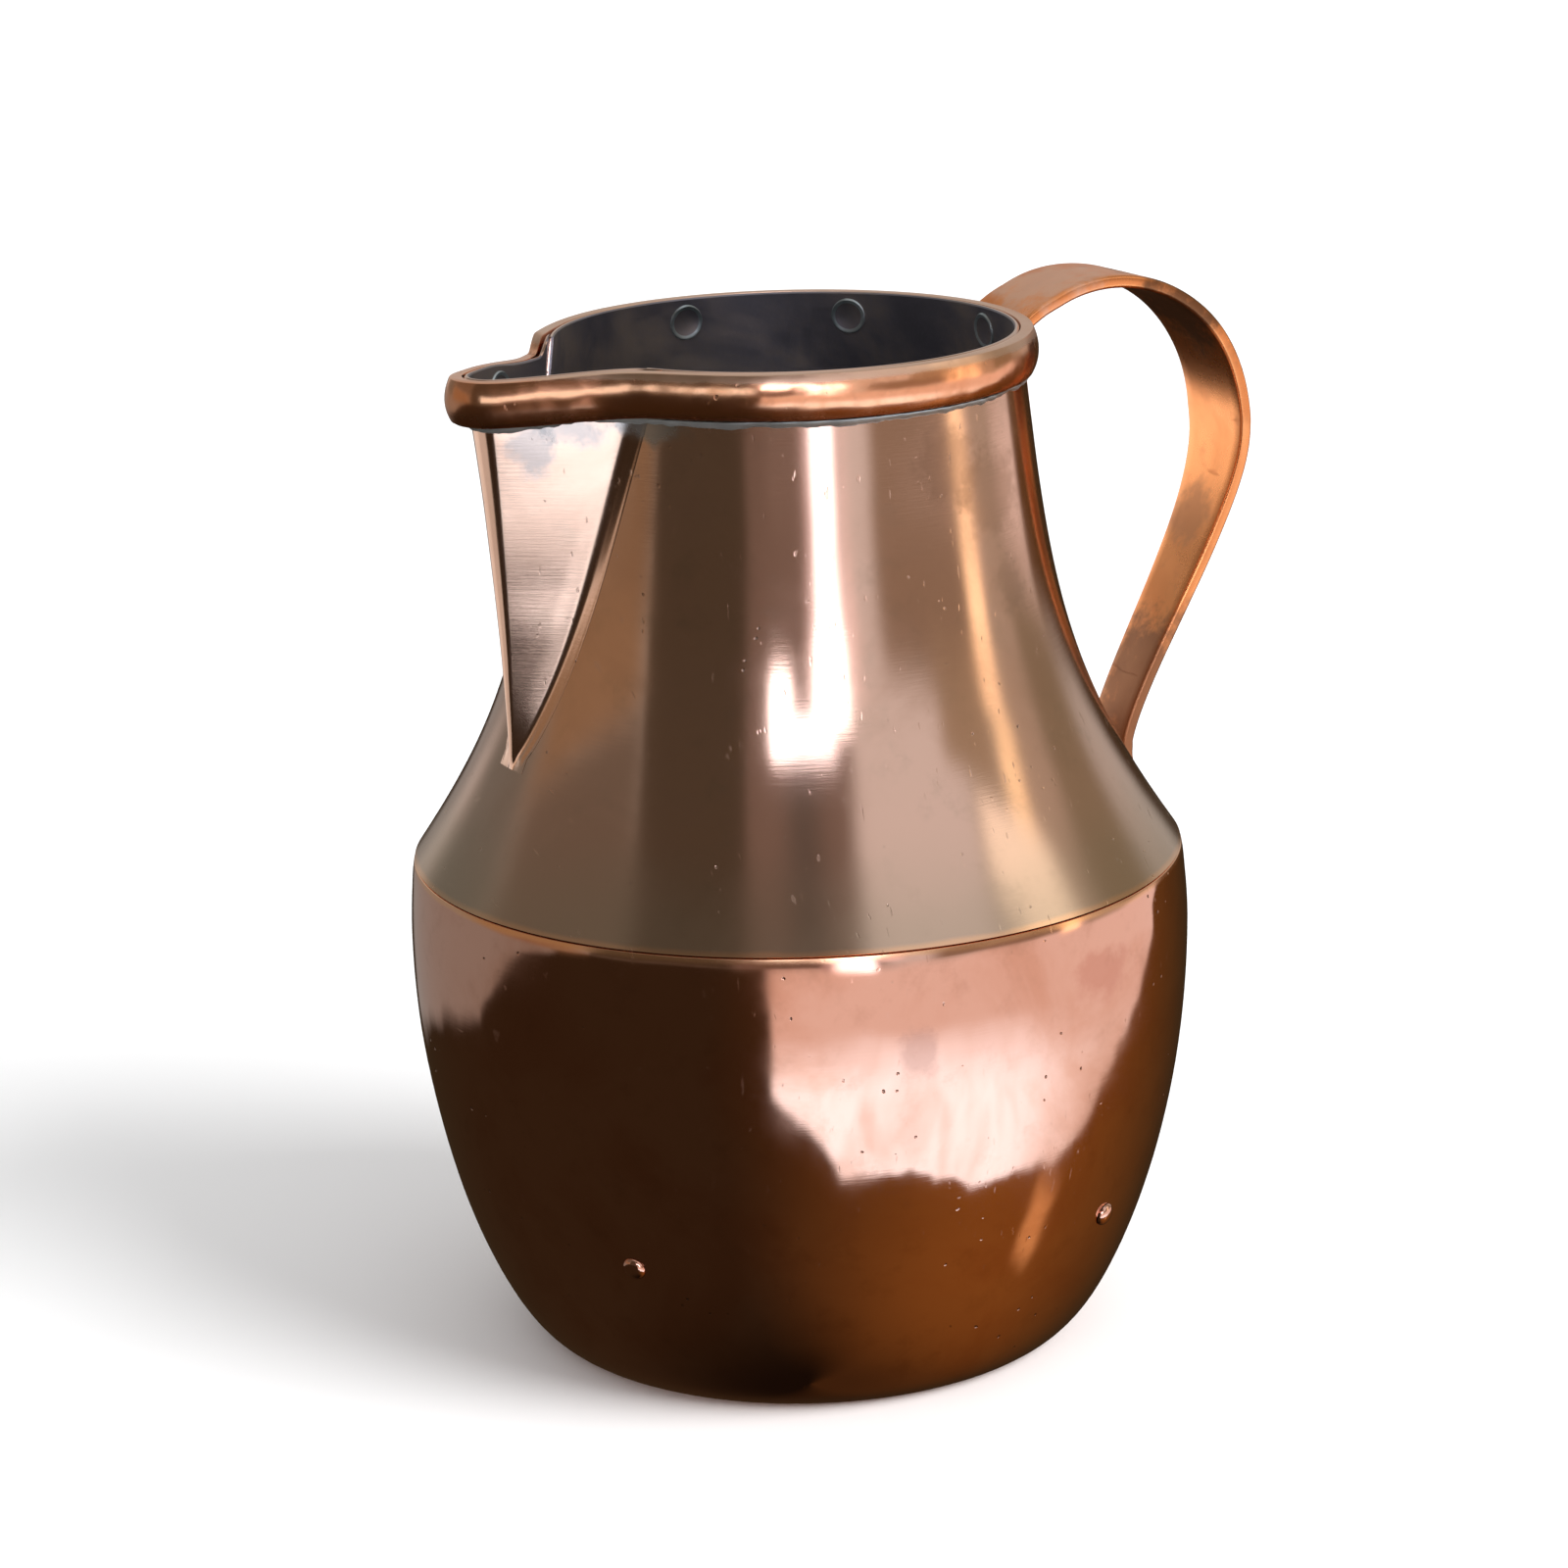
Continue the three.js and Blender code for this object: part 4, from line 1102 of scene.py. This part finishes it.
def makeRoom():
    world = bpy.context.scene.world or bpy.data.worlds.new("studioWorld")
    bpy.context.scene.world = world
    world.use_nodes = True
    tree = world.node_tree
    tree.nodes.clear()
    ray = tree.nodes.new("ShaderNodeTexCoord").outputs["Generated"]
    parts = add(tree, "ShaderNodeSeparateXYZ", {0: ray}).outputs
    azimuth = times(tree, maths(tree, "ARCTAN2", parts["Y"], parts["X"]), 180 / math.pi)
    elevation = times(tree, maths(tree, "ARCSINE", parts["Z"]), 180 / math.pi)

    def window(value, low, high, soft):
        rising = ranged(tree, value, low - soft, low + soft)
        falling = ranged(tree, value, high + soft, high - soft)
        return times(tree, rising, falling)

    glow = window(azimuth, -100, 10, 50)
    deep = ranged(tree, elevation, -84, -48)
    under = blended(tree, window(azimuth, -95, 60, 25), (0.010, 0.006, 0.0035), (0.055, 0.026, 0.009))
    floorTone = blended(tree, glow, (0.036, 0.022, 0.011), (0.235, 0.098, 0.021))
    floorTone = blended(tree, deep, under, floorTone)
    ceiling = ranged(tree, elevation, 52, 85)
    colour = blended(tree, ranged(tree, elevation, -3, 3), floorTone, (0.4, 0.38, 0.35))
    # pale sheet lying in front, with a slanting far corner, and another far off to the left
    past = maths(tree, "MAXIMUM", plus(tree, azimuth, 50.0), 0.0)
    wander = times(tree, maths(tree, "SUBTRACT", wavyNoise(tree, ray, 4.0, 2.5, 0.5), 0.5), 9.0)
    rise = times(tree, times(tree, past, past), -0.0075)
    slant = plus(tree, plus(tree, elevation, rise), wander)
    across = window(azimuth, -127, 10, 1.2)
    upright = times(tree, ranged(tree, slant, -38.4, -37.4), ranged(tree, elevation, 3, -3))
    sheetMask = times(tree, across, upright)
    corner = plus(tree, plus(tree, elevation, times(tree, azimuth, 0.55)), wander)
    sheetMask = times(tree, sheetMask, ranged(tree, corner, -98, -96))
    folds = wavyNoise(tree, ray, 4.0, 5.0, 0.6, 0.5)
    sheetTone = blended(tree, ranged(tree, azimuth, -60, -10), (1.55, 1.80, 2.10), (0.92, 0.82, 0.78))
    sheetTone = blended(tree, ranged(tree, folds, 0.42, 0.72), sheetTone, (1.20, 1.22, 1.30))
    sheetTone = blended(tree, ranged(tree, elevation, -28, -17), sheetTone, (0.90, 0.76, 0.72))
    colour = blended(tree, sheetMask, colour, sheetTone)
    climb = maths(tree, "MAXIMUM", maths(tree, "SUBTRACT", azimuth, 132.0), 0.0)
    climb = times(tree, climb, -0.42)
    farEdge = plus(tree, plus(tree, elevation, climb), times(tree, wander, 0.35))
    farSheet = times(tree, window(azimuth, 78, 168, 2.5), window(farEdge, -20, 3, 0.8))
    colour = blended(tree, farSheet, colour, (0.29, 0.27, 0.25))
    for left, right, low, high, soft, tone in roomPatches:
        across = window(azimuth, left, right, soft)
        mask = times(tree, across, window(elevation, low, high, min(soft, 3)))
        colour = blended(tree, mask, colour, tone)
    colour = blended(tree, ceiling, colour, (0.66, 0.64, 0.62))
    path = tree.nodes.new("ShaderNodeLightPath").outputs
    plain = blended(tree, path["Is Camera Ray"], (studio["sky"],) * 3, (1.0, 1.0, 1.0))
    colour = blended(tree, path["Is Glossy Ray"], plain, colour)
    background = add(tree, "ShaderNodeBackground", {"Color": colour, "Strength": 1.0})
    output = tree.nodes.new("ShaderNodeOutputWorld")
    tree.links.new(background.outputs[0], output.inputs[0])


makeFloor()
makeLight()
makeRoom()
bpy.context.scene.view_settings.view_transform = "Standard"
print("studio made")


# ---- camera

cameraLook = {"distance": 1.04066, "height": 0.43094, "turn": -28.0, "down": 15.779, "tilt": -1.61,
              "aside": -0.338, "lens": 100.346, "shiftX": 0.00822, "shiftY": 0.00217}


def makeCamera():
    down, tilt, aside = (math.radians(cameraLook[k]) for k in ("down", "tilt", "aside"))
    ahead = Vector((math.sin(aside), math.cos(aside), 0))
    right = Vector((math.cos(aside), -math.sin(aside), 0))
    up = ahead * math.sin(down) + Vector((0, 0, math.cos(down)))
    look = ahead * math.cos(down) - Vector((0, 0, math.sin(down)))
    xAxis = right * math.cos(tilt) + up * math.sin(tilt)
    yAxis = up * math.cos(tilt) - right * math.sin(tilt)
    data = bpy.data.cameras.new("studioCamera")
    camera = bpy.data.objects.new("studioCamera", data)
    bpy.context.collection.objects.link(camera)
    turned = Matrix((xAxis, yAxis, -look)).transposed().to_4x4()
    place = Matrix.Translation((0, -cameraLook["distance"], cameraLook["height"]))
    camera.matrix_world = Matrix.Rotation(math.radians(cameraLook["turn"]), 4, "Z") @ place @ turned
    data.lens = cameraLook["lens"]
    data.sensor_width = 36
    data.shift_x = cameraLook["shiftX"]
    data.shift_y = cameraLook["shiftY"]
    data.clip_start, data.clip_end = 0.05, 30
    bpy.context.scene.camera = camera


makeCamera()
print("camera made")
